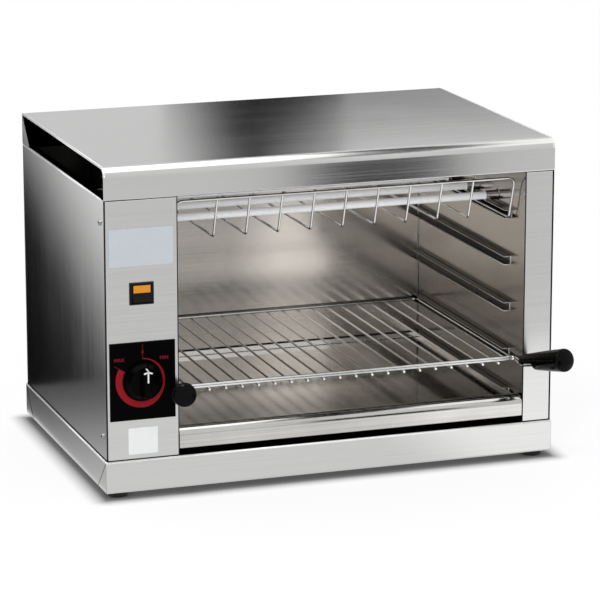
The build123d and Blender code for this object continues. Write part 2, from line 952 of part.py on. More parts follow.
# Dial and regulator

def dial_plane(depth=0):
    """Plane round the knob's axis, at a distance in front of the control panel."""
    return facing_front(control_x, panel_front - depth, dial_z)


def dial_plate():
    """Flat plate round the knob."""
    plate = extrude(Rectangle(dial_width, dial_height), dial_thickness)
    plate -= Cylinder(bushing_radius + bushing_clearance, 2 * (dial_thickness + overrun))
    return dial_plane() * plate


def regulator():
    """Energy regulator behind the panel, with the bushing that guides the shaft."""
    case = extrude(Rectangle(regulator_width, regulator_height), -regulator_depth)
    case = fillet(case.edges().filter_by(Axis.Z), regulator_edge)
    bushing = extrude(Circle(bushing_radius), sheet + dial_thickness + nut_thickness + bushing_end)
    bore = Pos(0, 0, -shaft_in_regulator) * extrude(
        Circle(shaft_radius + shaft_fit), shaft_in_regulator + regulator_depth
    )
    return dial_plane(-sheet) * (case + bushing - bore)


def regulator_nut():
    """Hexagon nut that clamps the regulator and the dial plate."""
    nut = extrude(RegularPolygon(nut_flats_radius, 6, major_radius=False), nut_thickness)
    nut -= Cylinder(bushing_radius, 2 * (nut_thickness + overrun))
    return dial_plane(dial_thickness) * nut


def knob_base():
    """Distance from the control panel to the underside of the knob."""
    return dial_thickness + knob_lift


def knob_shaft():
    """Shaft from the regulator into the knob."""
    length = sheet + shaft_in_regulator + knob_base() + shaft_in_knob
    return dial_plane(-sheet - shaft_in_regulator) * extrude(Circle(shaft_radius), length)


def control_knob():
    """Round knob with a skirt and a raised grip bar."""
    skirt = extrude(Circle(knob_radius), knob_skirt)
    skirt = fillet(skirt.edges().group_by(Axis.Z)[-1], knob_edge)
    crown = Cone(knob_radius - knob_edge, knob_crown_radius, knob_crown, align=standing)
    crown = Pos(0, 0, knob_skirt) * crown
    bar = SlotOverall(grip_length, grip_width, rotation=90)
    grip = Pos(0, 0, knob_skirt) * extrude(bar, knob_height - knob_skirt, taper=grip_taper)
    grip = fillet(grip.edges().group_by(Axis.Z)[-1], knob_edge)
    knob = skirt + crown + grip
    knob -= Cylinder(knob_recess_radius, 2 * knob_recess)
    knob -= Cylinder(shaft_radius + shaft_fit, 2 * (shaft_in_knob + shaft_fit))
    return dial_plane(knob_base()) * knob


# Mains connection

def terminal_block():
    """Terminal block on the base, behind the controls."""
    back = wall_back - terminal_back_gap
    x_range = (control_x - terminal_width / 2, control_x + terminal_width / 2)
    body = block(x_range, (back - terminal_depth, back), (base_top, base_top + terminal_height))
    step = terminal_width / terminal_ways
    for way in range(terminal_ways):
        x = x_range[0] + (way + 1 / 2) * step
        y = back - terminal_depth / 2
        top = base_top + terminal_height
        body -= rod((x, y, top - terminal_well), (x, y, top + overrun), terminal_well_radius)
    return body


def gland_plane():
    """Plane on the back panel's outer face, with Z towards the back."""
    return Plane(origin=(control_x, panel_back, base_top + gland_level), x_dir=(1, 0, 0), z_dir=(0, 1, 0))


def cable_gland():
    """Gland body through the back panel, with a bore for the mains cord."""
    body = extrude(Circle(gland_flange_radius), gland_flange)
    dome = Pos(0, 0, gland_flange) * extrude(Circle(gland_dome_radius), gland_dome)
    body += fillet(dome.edges().group_by(Axis.Z)[-1], gland_dome_edge)
    body += extrude(Circle(gland_thread_radius), -gland_thread)
    body -= Cylinder(gland_bore_radius, 2 * (gland_thread + gland_flange + gland_dome))
    return gland_plane() * body


def gland_nut_ring():
    """Hexagon nut of the gland, inside the back panel."""
    nut = extrude(RegularPolygon(gland_nut_flats_radius, 6, major_radius=False), -gland_nut)
    nut -= Cylinder(gland_thread_radius, 2 * (gland_nut + overrun))
    return gland_plane() * Pos(0, 0, -sheet) * nut


# Assembly

def all_nodes():
    """Every piece of the grill, by name."""
    nodes = {"base_pan": base_pan()}
    for name, (x, y) in foot_places().items():
        nodes["foot_" + name] = rubber_foot(x, y)
    nodes["foot_screws"] = foot_screws()
    panel = side_panel()
    nodes["side_panel_right"] = panel
    nodes["side_panel_left"] = mirror(panel, Plane.YZ)
    nodes["control_panel"] = control_panel()
    nodes["right_column"] = right_column()
    nodes["back_panel"] = back_panel()
    nodes["top_cover"] = top_cover()
    nodes["side_screws"] = side_screws()
    nodes["back_screws"] = back_screws()
    nodes["cavity_wall_right"], nodes["cavity_wall_left"] = on_both_sides(cavity_wall())
    nodes["cavity_back"] = cavity_back()
    nodes["ceiling"] = ceiling()
    for name, level in rail_levels.items():
        nodes["rail_" + name + "_right"], nodes["rail_" + name + "_left"] = on_both_sides(rail(level))
    for row, y in enumerate(tube_rows):
        nodes["quartz_tube_" + str(row + 1)] = quartz_tube(y)
    nodes["heating_coils"] = heating_coils()
    caps = [on_both_sides(tube_cap(y)) for y in tube_rows]
    nodes["tube_caps_right"] = [pair[0] for pair in caps]
    nodes["tube_caps_left"] = [pair[1] for pair in caps]
    nodes["tube_bracket_right"], nodes["tube_bracket_left"] = on_both_sides(tube_bracket())
    nodes["guard_frame"] = guard_frame()
    nodes["guard_bars"] = guard_bars()
    nodes["rack_frame"] = rack_frame()
    nodes["rack_front_wires"] = rack_front_wires()
    nodes["rack_grid"] = rack_grid()
    nodes["rack_handle_left"] = rack_handle(-1)
    nodes["rack_handle_right"] = rack_handle(1)
    nodes["drip_tray"] = drip_tray()
    nodes["switch_housing"] = switch_housing()
    nodes["switch_rocker"] = switch_rocker()
    nodes["switch_lens"] = switch_lens()
    nodes["switch_terminals"] = switch_terminals()
    nodes["dial_plate"] = dial_plate()
    nodes["regulator"] = regulator()
    nodes["regulator_nut"] = regulator_nut()
    nodes["knob_shaft"] = knob_shaft()
    nodes["control_knob"] = control_knob()
    nodes["terminal_block"] = terminal_block()
    nodes["cable_gland"] = cable_gland()
    nodes["gland_nut"] = gland_nut_ring()
    return nodes


def solids_of(shape):
    """The solids of one shape, or of a list of shapes."""
    pieces = shape if isinstance(shape, list) else [shape]
    return [solid for piece in pieces for solid in piece.solids()]


def to_middle(nodes):
    """Move along Y that brings the middle of the whole grill over the origin."""
    boxes = [solid.bounding_box() for solids in nodes.values() for solid in solids]
    front = min(box.min.Y for box in boxes)
    back = max(box.max.Y for box in boxes)
    return Pos(0, -(front + back) / 2, 0)


def main():
    """Write one STEP file for each piece."""
    os.makedirs("parts", exist_ok=True)
    nodes = {name: solids_of(shape) for name, shape in all_nodes().items()}
    move = to_middle(nodes)
    for name, solids in nodes.items():
        moved = [move * solid for solid in solids]
        piece = moved[0] if len(moved) == 1 else Compound(children=moved)
        export_step(piece, os.path.join("parts", name + ".step"))


main()
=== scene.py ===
"""Studio scene of a counter-top salamander grill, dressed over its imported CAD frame."""

from __future__ import annotations

import itertools
import json
import logging
import math
from dataclasses import dataclass, replace
from enum import Enum
from typing import Iterable, Iterator, Sequence, Union

import bmesh
import bpy
from mathutils import Matrix, Vector

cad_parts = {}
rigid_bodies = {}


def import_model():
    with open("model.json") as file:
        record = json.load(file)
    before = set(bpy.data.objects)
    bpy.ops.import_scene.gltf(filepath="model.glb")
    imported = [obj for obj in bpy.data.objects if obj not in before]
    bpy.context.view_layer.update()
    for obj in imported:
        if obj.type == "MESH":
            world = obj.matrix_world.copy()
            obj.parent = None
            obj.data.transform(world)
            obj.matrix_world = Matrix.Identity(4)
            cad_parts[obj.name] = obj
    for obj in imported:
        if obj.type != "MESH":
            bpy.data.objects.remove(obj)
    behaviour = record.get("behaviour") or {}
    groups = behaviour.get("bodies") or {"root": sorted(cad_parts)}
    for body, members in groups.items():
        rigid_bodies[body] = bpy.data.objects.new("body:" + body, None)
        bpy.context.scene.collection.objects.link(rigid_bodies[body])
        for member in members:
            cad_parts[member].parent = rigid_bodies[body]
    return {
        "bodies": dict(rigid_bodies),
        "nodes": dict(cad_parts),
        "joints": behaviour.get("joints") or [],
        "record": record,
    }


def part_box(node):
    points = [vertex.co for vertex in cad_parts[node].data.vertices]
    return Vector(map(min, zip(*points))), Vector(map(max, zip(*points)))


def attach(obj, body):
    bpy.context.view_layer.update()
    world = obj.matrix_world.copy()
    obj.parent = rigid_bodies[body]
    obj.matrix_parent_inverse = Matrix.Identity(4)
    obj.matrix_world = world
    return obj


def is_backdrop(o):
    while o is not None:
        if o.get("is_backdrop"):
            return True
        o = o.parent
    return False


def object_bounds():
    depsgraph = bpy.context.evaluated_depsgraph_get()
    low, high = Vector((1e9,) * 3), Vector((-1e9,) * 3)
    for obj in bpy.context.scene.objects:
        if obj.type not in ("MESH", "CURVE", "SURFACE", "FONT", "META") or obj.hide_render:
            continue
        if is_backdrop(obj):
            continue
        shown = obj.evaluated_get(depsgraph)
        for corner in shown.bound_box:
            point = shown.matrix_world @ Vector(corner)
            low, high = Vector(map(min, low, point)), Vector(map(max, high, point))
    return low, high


LOG = logging.getLogger("salamander_grill")

Colour = tuple[float, float, float]
Stretch = tuple[float, float, float]
Box = tuple[Stretch, Stretch]
Run = Sequence[Stretch]
Number = Union[float, "Value"]
Material = bpy.types.Material
Mesh = bmesh.types.BMesh
Socket = bpy.types.NodeSocket
Tone = Union[Colour, Socket]

NOISE_MEAN = 0.5
ORIGIN = (0.0, 0.0, 0.0)
QUARTER_TURN = math.radians(90.0)
STAND_UP = Matrix.Rotation(QUARTER_TURN, 3, "X")


class Value:
    """A shader socket that takes part in Python arithmetic."""

    def __init__(self, tree: bpy.types.NodeTree, socket: Socket) -> None:
        """Hold one socket of a node tree."""
        self.tree = tree
        self.socket = socket

    def _math(self, operation: str, first: Number, second: Number = 0.0) -> Value:
        """Add one Math node.

        Args:
            operation: Blender's name of the operation.
            first: The first number or socket.
            second: The second number or socket.

        Returns:
            The node's result.
        """
        node = self.tree.nodes.new("ShaderNodeMath")
        node.operation = operation
        for port, item in zip(node.inputs, (first, second)):
            if isinstance(item, Value):
                self.tree.links.new(item.socket, port)
            else:
                port.default_value = item
        return Value(self.tree, node.outputs[0])

    def __add__(self, other: Number) -> Value:
        """Sum of two values."""
        return self._math("ADD", self, other)

    def __radd__(self, other: Number) -> Value:
        """Sum with a number in front."""
        return self._math("ADD", other, self)

    def __sub__(self, other: Number) -> Value:
        """Difference of two values."""
        return self._math("SUBTRACT", self, other)

    def __rsub__(self, other: Number) -> Value:
        """Difference with a number in front."""
        return self._math("SUBTRACT", other, self)

    def __mul__(self, other: Number) -> Value:
        """Product of two values."""
        return self._math("MULTIPLY", self, other)

    def __rmul__(self, other: Number) -> Value:
        """Product with a number in front."""
        return self._math("MULTIPLY", other, self)

    def larger(self, other: Number) -> Value:
        """The larger of two values."""
        return self._math("MAXIMUM", self, other)

    def smaller(self, other: Number) -> Value:
        """The smaller of two values."""
        return self._math("MINIMUM", self, other)

    def above(self, other: Number) -> Value:
        """One where this value is above another, and zero elsewhere."""
        return self._math("GREATER_THAN", self, other)

    def magnitude(self) -> Value:
        """The value without its sign."""
        return self._math("ABSOLUTE", self)

    def root(self) -> Value:
        """The square root."""
        return self._math("SQRT", self)


class Along(Enum):
    """Axis along which scratches or screws run."""

    X = 0
    Y = 1
    Z = 2


@dataclass(frozen=True)
class Noise:
    """Noise over an object: cells a metre on each axis, layers of finer noise, and their weight."""

    cells: Stretch
    detail: float = 2.0
    broken: float = 0.5

    def along(self, grain: Along) -> Noise:
        """The same noise with its X direction laid along a grain.

        Args:
            grain: The axis of the grain.

        Returns:
            The turned noise.
        """
        first, *others = self.cells
        others.insert(grain.value, first)
        return replace(self, cells=tuple(others))


def even(part: float) -> tuple[float, float, float]:
    """The same number three times: a grey, or a noise that is alike in every direction."""
    return (part, part, part)


def brighter(colour: Colour, share: float) -> Colour:
    """A colour made lighter or darker by a share of itself."""
    return tuple(min(1.0, part * (1.0 + share)) for part in colour)


class NodeBoard:
    """Node tree of a material or of the surroundings."""

    def __init__(self, tree: bpy.types.NodeTree) -> None:
        """Hold the tree."""
        self.tree = tree

    def first(self, kind: str) -> bpy.types.Node:
        """The tree's first node of a kind."""
        return next(node for node in self.tree.nodes if node.type == kind)

    def node(self, kind: str, settings: dict, inputs: dict) -> bpy.types.Node:
        """Add one node.

        Args:
            kind: Blender's type name of the node.
            settings: Properties of the node, which are set first.
            inputs: Values or links of its sockets, by name.

        Returns:
            The new node.
        """
        made = self.tree.nodes.new(kind)
        for key, setting in settings.items():
            setattr(made, key, setting)
        for key, item in inputs.items():
            self.feed(made.inputs[key], item)
        return made

    def feed(self, port: Socket, item: object) -> None:
        """Link a value or socket to a port, or set its number.

        Args:
            port: The socket that is fed.
            item: A value, a socket or a plain number.
        """
        if isinstance(item, Value):
            self.tree.links.new(item.socket, port)
        elif isinstance(item, Socket):
            self.tree.links.new(item, port)
        else:
            port.default_value = item

    def coordinates(self) -> Socket:
        """Object coordinates."""
        return self.node("ShaderNodeTexCoord", {}, {}).outputs["Object"]

    def axes(self) -> dict[str, Value]:
        """Object coordinates, as one value for each axis."""
        parts = self.node("ShaderNodeSeparateXYZ", {}, {"Vector": self.coordinates()})
        return {axis: Value(self.tree, parts.outputs[axis]) for axis in "XYZ"}

    def place(self, stretch: Stretch) -> Socket:
        """Object coordinates, scaled on each axis."""
        inputs = {"Vector": self.coordinates(), "Scale": stretch}
        return self.node("ShaderNodeMapping", {"vector_type": "POINT"}, inputs).outputs["Vector"]

    def noise(self, noise: Noise) -> Value:
        """Noise over the object, about one half on average.

        Args:
            noise: Its cells and layers.

        Returns:
            The noise, from zero to one.
        """
        inputs = {"Vector": self.place(noise.cells), "Scale": 1.0}
        inputs |= {"Detail": noise.detail, "Roughness": noise.broken}
        made = self.node("ShaderNodeTexNoise", {"noise_dimensions": "3D"}, inputs)
        return Value(self.tree, made.outputs["Fac"])

    def rise(self, value: Value, top: float = 1.0) -> Value:
        """Smooth rise from zero to one while a value goes from zero to a top.

        Args:
            value: The value.
            top: Where the rise ends.

        Returns:
            The rise.
        """
        inputs = {"Value": value, "From Max": top}
        made = self.node("ShaderNodeMapRange", {"interpolation_type": "SMOOTHSTEP"}, inputs)
        return Value(self.tree, made.outputs["Result"])

    def blend(self, factor: Number, low: Tone, high: Tone) -> Socket:
        """Colour between two ends, each a plain colour or a socket.

        Args:
            factor: Share of the high end.
            low: The colour at zero.
            high: The colour at one.

        Returns:
            The blended colour.
        """
        first, second = [(*tone, 1.0) if isinstance(tone, tuple) else tone for tone in (low, high)]
        inputs = {"Factor": factor, "A": first, "B": second}
        return self.node("ShaderNodeMix", {"data_type": "RGBA"}, inputs).outputs["Result"]

    def spread(self, factor: Number, colour: Colour, darker: float, lighter: float) -> Socket:
        """Colour that changes by shares of itself, from a darker end to a lighter one."""
        return self.blend(factor, brighter(colour, darker), brighter(colour, lighter))

    def bump(self, height: Value, strength: float, depth: float) -> Socket:
        """Surface relief from a height.

        Args:
            height: The relief, from 0 to 1.
            strength: How far the relief turns the surface.
            depth: Height of the relief in metres.

        Returns:
            The turned normal.
        """
        inputs = {"Height": height, "Strength": strength, "Distance": depth}
        return self.node("ShaderNodeBump", {}, inputs).outputs["Normal"]

    def glow(self, light: Socket) -> Socket:
        """Surface that shines by itself."""
        return self.node("ShaderNodeEmission", {}, {"Color": light, "Strength": 1.0}).outputs["Emission"]

    def rays(self) -> tuple[Value, Value]:
        """Which rays meet a surface.

        Returns:
            One for rays of the camera or through clear pieces, and one for rays of gloss; zero for others.
        """
        paths = self.node("ShaderNodeLightPath", {}, {})
        camera = Value(self.tree, paths.outputs["Is Camera Ray"])
        clear = Value(self.tree, paths.outputs["Is Transmission Ray"])
        return camera.larger(clear), Value(self.tree, paths.outputs["Is Glossy Ray"])


class FinishBoard(NodeBoard):
    """Node tree of one procedural finish."""

    def __init__(self, name: str) -> None:
        """Start a material with its plain shader.

        Args:
            name: Name of the material.
        """
        self.material = bpy.data.materials.new(name)
        self.material.use_nodes = True
        super().__init__(self.material.node_tree)
        self.shader = self.first("BSDF_PRINCIPLED")

    def shade(self, **inputs: object) -> None:
        """Set or link the shader's own sockets, named with underscores."""
        for key, item in inputs.items():
            self.feed(self.shader.inputs[key.replace("_", " ").title().replace("Ior", "IOR")], item)

    def finish_with(self, surface: Socket) -> None:
        """Use another shader than the plain one for the surface."""
        self.feed(self.first("OUTPUT_MATERIAL").inputs["Surface"], surface)


@dataclass(frozen=True)
class Finish:
    """Look of a surface, which each kind of finish paints with its own nodes."""

    name: str

    def material(self) -> Material:
        """Make the finish.

        Returns:
            The new material.
        """
        board = FinishBoard(self.name)
        self.paint(board)
        return board.material

    def paint(self, board: FinishBoard) -> None:
        """Set the shader of the new material.

        Args:
            board: The material's node tree.
        """
        raise NotImplementedError


@dataclass(frozen=True)
class BrushedSheet(Finish):
    """Stainless sheet with fine scratches all in one direction, painted black inside given boxes as the shade
    inside the vent.
    """

    grain: Along
    colour: Colour = (0.56, 0.56, 0.555)
    contrast: float = 0.10
    streak_tone: float = 0.6
    roughness: float = 0.18
    streak_gloss: float = 0.10
    cloud_gloss: float = 0.06
    hair: Noise = Noise((6.0, 2600.0, 2600.0), broken=0.6)
    streak: Noise = Noise((2.5, 420.0, 420.0), detail=3.0, broken=0.6)
    cloud: Noise = Noise(even(7.0), detail=3.0, broken=0.55)
    hair_relief: float = 0.7
    relief: float = 0.00004
    strength: float = 0.20
    # painted shade: colour of the dark inside of the vent
    painted_vent_shade: Colour = (0.012, 0.011, 0.010)
    painted_shade_boxes: tuple[Box, ...] = ()

    def painted_shade_share(self, board: FinishBoard) -> Number:
        """One inside the boxes where the vent's inside is painted black as shade, and zero outside them.

        Args:
            board: The node tree that asks.

        Returns:
            The part painted black as shade.
        """
        axes = board.axes()
        black: Number = 0.0
        for box in self.painted_shade_boxes:
            inside: Number = 1.0
            for axis, low, high in zip("XYZ", *box):
                inside = inside * (axes[axis].above(low) - axes[axis].above(high))
            black = inside + black
        return black

    def paint(self, board: FinishBoard) -> None:
        """Set the shader of the new material."""
        hair = board.noise(self.hair.along(self.grain))
        streak = board.noise(self.streak.along(self.grain))
        cloud = board.noise(self.cloud)
        tone = self.streak_tone * streak + (1.0 - self.streak_tone) * hair
        sheet = board.spread(tone, self.colour, -self.contrast, self.contrast)
        streaked = self.streak_gloss * (streak - NOISE_MEAN)
        clouded = self.cloud_gloss * (cloud - NOISE_MEAN)
        height = self.hair_relief * hair + (1.0 - self.hair_relief) * streak
        board.shade(
            metallic=1.0,
            base_color=board.blend(self.painted_shade_share(board), sheet, self.painted_vent_shade),
            roughness=self.roughness + streaked + clouded,
            normal=board.bump(height, self.strength, self.relief),
        )


@dataclass(frozen=True)
class BrightSheet(Finish):
    """Smooth rolled sheet inside the cavity, with faint rolling lines, wiped patches and a painted
    reflection.

    The painted reflection, if any, leaves a strip about one place on an axis bright and paints shade on the
    sheet beside it, and a value below zero does the reverse. The lean makes the strip reach further towards
    the axis's high end. The level makes the whole sheet lighter or darker.
    """

    grain: Along
    colour: Colour = (0.64, 0.60, 0.55)
    darker: float = -0.60
    lighter: float = 0.07
    line_tone: float = 0.5
    roughness: float = 0.16
    wiped_gloss: float = 0.14
    line_gloss: float = 0.06
    line: Noise = Noise((3.0, 900.0, 900.0), broken=0.55)
    wiped: Noise = Noise((11.0, 9.0, 13.0), detail=4.0, broken=0.6)
    relief: float = 0.00003
    strength: float = 0.12
    painted_reflection: float = 0.0
    reflection_axis: str = "X"
    bright_place: float = 0.07
    bright_half: float = 0.15
    lean: float = 0.0
    level: float = 0.5

    def painted_reflection_shade(self, board: FinishBoard) -> Value:
        """How far the painted reflection's shade darkens the sheet beside its bright strip, from zero to one.
        """
        aside = board.axes()[self.reflection_axis] - self.bright_place
        return board.rise(aside.magnitude() - self.lean * aside, self.bright_half)

    def paint(self, board: FinishBoard) -> None:
        """Set the shader of the new material."""
        line = board.noise(self.line.along(self.grain))
        wiped = board.noise(self.wiped)
        tone = self.line_tone * line + (1.0 - self.line_tone) * wiped - self.painted_reflection * self.painted_reflection_shade(board)
        uneven = self.wiped_gloss * (wiped - NOISE_MEAN) + self.line_gloss * (line - NOISE_MEAN)
        board.shade(
            metallic=1.0,
            base_color=board.spread(tone + self.level, self.colour, self.darker, self.lighter),
            roughness=self.roughness + uneven,
            normal=board.bump(line, self.strength, self.relief),
        )


@dataclass(frozen=True)
class EvenFinish(Finish):
    """Finish that is alike in every direction, with a fine relief and broad patches.

    The fine tone and the fine gloss are the fine noise's shares in the colour and in the roughness.
    """

    colour: Colour
    roughness: float
    fine: Noise
    broad: Noise
    darker: float
    lighter: float
    metal: float = 0.0
    sheen: float = 0.5
    fine_tone: float = 0.0
    gloss_spread: float = 0.10
    fine_gloss: float = 0.0
    strength: float = 0.05
    relief: float = 0.00004

    def paint(self, board: FinishBoard) -> None:
        """Set the shader of the new material."""
        fine = board.noise(self.fine)
        broad = board.noise(self.broad)
        tone = self.fine_tone * fine + (1.0 - self.fine_tone) * broad
        gloss = self.fine_gloss * fine + (1.0 - self.fine_gloss) * broad
        board.shade(
            metallic=self.metal,
            base_color=board.spread(tone, self.colour, self.darker, self.lighter),
            roughness=self.roughness + self.gloss_spread * (gloss - NOISE_MEAN),
            specular_ior_level=self.sheen,
            normal=board.bump(fine, self.strength, self.relief),
        )


@dataclass(frozen=True)
class PlatedWire(EvenFinish):
    """Bright plated wire, a little uneven from drawing."""

    name: str = "plated_wire_finish"
    colour: Colour = (0.68, 0.68, 0.67)
    roughness: float = 0.14
    fine: Noise = Noise(even(900.0))
    broad: Noise = Noise(even(60.0))
    darker: float = -0.08
    lighter: float = 0.08
    metal: float = 1.0


@dataclass(frozen=True)
class PlainMetal(EvenFinish):
    """Turned or pressed metal with fine tool marks."""

    fine: Noise = Noise(even(1400.0), broken=0.6)
    broad: Noise = Noise(even(90.0), detail=3.0, broken=0.55)
    darker: float = -0.12
    lighter: float = 0.08
    metal: float = 1.0
    gloss_spread: float = 0.16
    fine_gloss: float = 1.0
    strength: float = 0.10


@dataclass(frozen=True)
class Moulding(EvenFinish):
    """Moulded plastic or rubber with a fine skin."""

    fine: Noise = Noise(even(1600.0))
    broad: Noise = Noise(even(55.0), detail=3.0, broken=0.6)
    darker: float = -0.20
    lighter: float = 0.25
    sheen: float = 0.18
    gloss_spread: float = 0.12
    strength: float = 0.10
    relief: float = 0.00005


@dataclass(frozen=True)
class PrintInk(EvenFinish):
    """Flat printed colour or bare plate with a faint mottle."""

    fine: Noise = Noise(even(700.0))
    broad: Noise = Noise(even(60.0), detail=3.0, broken=0.6)
    darker: float = -0.06
    lighter: float = 0.04
    sheen: float = 0.12
    fine_tone: float = 0.5
    fine_gloss: float = 1.0
    strength: float = 0.03
    relief: float = 0.00003


@dataclass(frozen=True)
class FrostedQuartz(Finish):
    """Milky quartz tube with a painted glow."""

    name: str = "frosted_quartz_finish"
    colour: Colour = (0.86, 0.87, 0.88)
    darker: float = -0.10
    lighter: float = 0.06
    roughness: float = 0.26
    milky_gloss: float = 0.14
    milky: Noise = Noise((14.0, 160.0, 160.0), detail=3.0, broken=0.6)
    # painted glow: stands for light scattered in the milky quartz
    painted_glow: float = 0.22
    strength: float = 0.08
    relief: float = 0.0001

    def paint(self, board: FinishBoard) -> None:
        """Set the shader of the new material."""
        milky = board.noise(self.milky)
        tone = board.spread(milky, self.colour, self.darker, self.lighter)
        board.shade(
            base_color=tone,
            roughness=self.roughness + self.milky_gloss * milky,
            emission_color=tone,
            emission_strength=self.painted_glow,
            normal=board.bump(milky, self.strength, self.relief),
        )


@dataclass(frozen=True)
class AmberLens(Finish):
    """Clear-coloured lens with moulded ribs on its inner side and a painted glow."""

    name: str = "amber_lens_finish"
    deep: Colour = (0.42, 0.13, 0.004)
    pale: Colour = (0.74, 0.30, 0.012)
    rib_pitch: float = 0.0012
    rib_scale: float = 0.3
    rib_share: float = 0.6
    haze: Noise = Noise(even(240.0))
    roughness: float = 0.18
    haze_gloss: float = 0.08
    sheen: float = 0.25
    # painted glow: the lens shines by itself
    painted_glow: float = 0.20

    def paint(self, board: FinishBoard) -> None:
        """Set the shader of the new material."""
        ribs = board.node(
            "ShaderNodeTexWave",
            {"wave_type": "BANDS", "bands_direction": "X", "wave_profile": "SIN"},
            {"Vector": board.place(even(1.0 / self.rib_pitch)), "Scale": self.rib_scale, "Distortion": 0.0},
        )
        haze = board.noise(self.haze)
        tone = self.rib_share * Value(board.tree, ribs.outputs["Fac"]) + (1.0 - self.rib_share) * haze
        light = board.blend(tone, self.deep, self.pale)
        board.shade(
            base_color=light,
            roughness=self.roughness + self.haze_gloss * haze,
            specular_ior_level=self.sheen,
            emission_color=light,
            emission_strength=self.painted_glow,
        )


def new_object(name: str, shape: Mesh, material: Material) -> bpy.types.Object:
    """Turn a finished bmesh into an object of the scene.

    Args:
        name: Name of the object.
        shape: Its mesh.
        material: Its material.

    Returns:
        The new object.
    """
    mesh = bpy.data.meshes.new(name)
    shape.to_mesh(mesh)
    shape.free()
    mesh.materials.append(material)
    made = bpy.data.objects.new(name, mesh)
    bpy.context.scene.collection.objects.link(made)
    return made


def make_piece(name: str, shape: Mesh, finish: Material, body: str) -> bpy.types.Object:
    """Turn a finished bmesh into a piece that rides on a body.

    Args:
        name: Name of the piece.
        shape: Its mesh, already in place.
        finish: Its material.
        body: The CAD body that carries it.

    Returns:
        The new object.
    """
    bmesh.ops.recalc_face_normals(shape, faces=shape.faces)
    piece = new_object(name, shape, finish)
    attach(piece, body)
    LOG.info("made %s with %d faces", name, len(piece.data.polygons))
    return piece


def smooth(piece: bpy.types.Object) -> None:
    """Shade a piece smoothly."""
    for face in piece.data.polygons:
        face.use_smooth = True


def middle_of(node: str) -> Vector:
    """Middle of a CAD node's box."""
    low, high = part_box(node)
    return (low + high) / 2


class Side(Enum):
    """Side of the grill, as its front is seen."""

    LEFT = -1
    RIGHT = 1

    def word(self) -> str:
        """The side's word in the names of the CAD nodes."""
        return self.name.lower()

    def other(self) -> Side:
        """The side across from this one."""
        return Side(-self.value)

    def edge(self, node: str, inset: float) -> float:
        """Place on X of this side of a CAD node's box, moved inwards by an inset."""
        low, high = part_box(node)
        return low.x + inset if self is Side.LEFT else high.x - inset


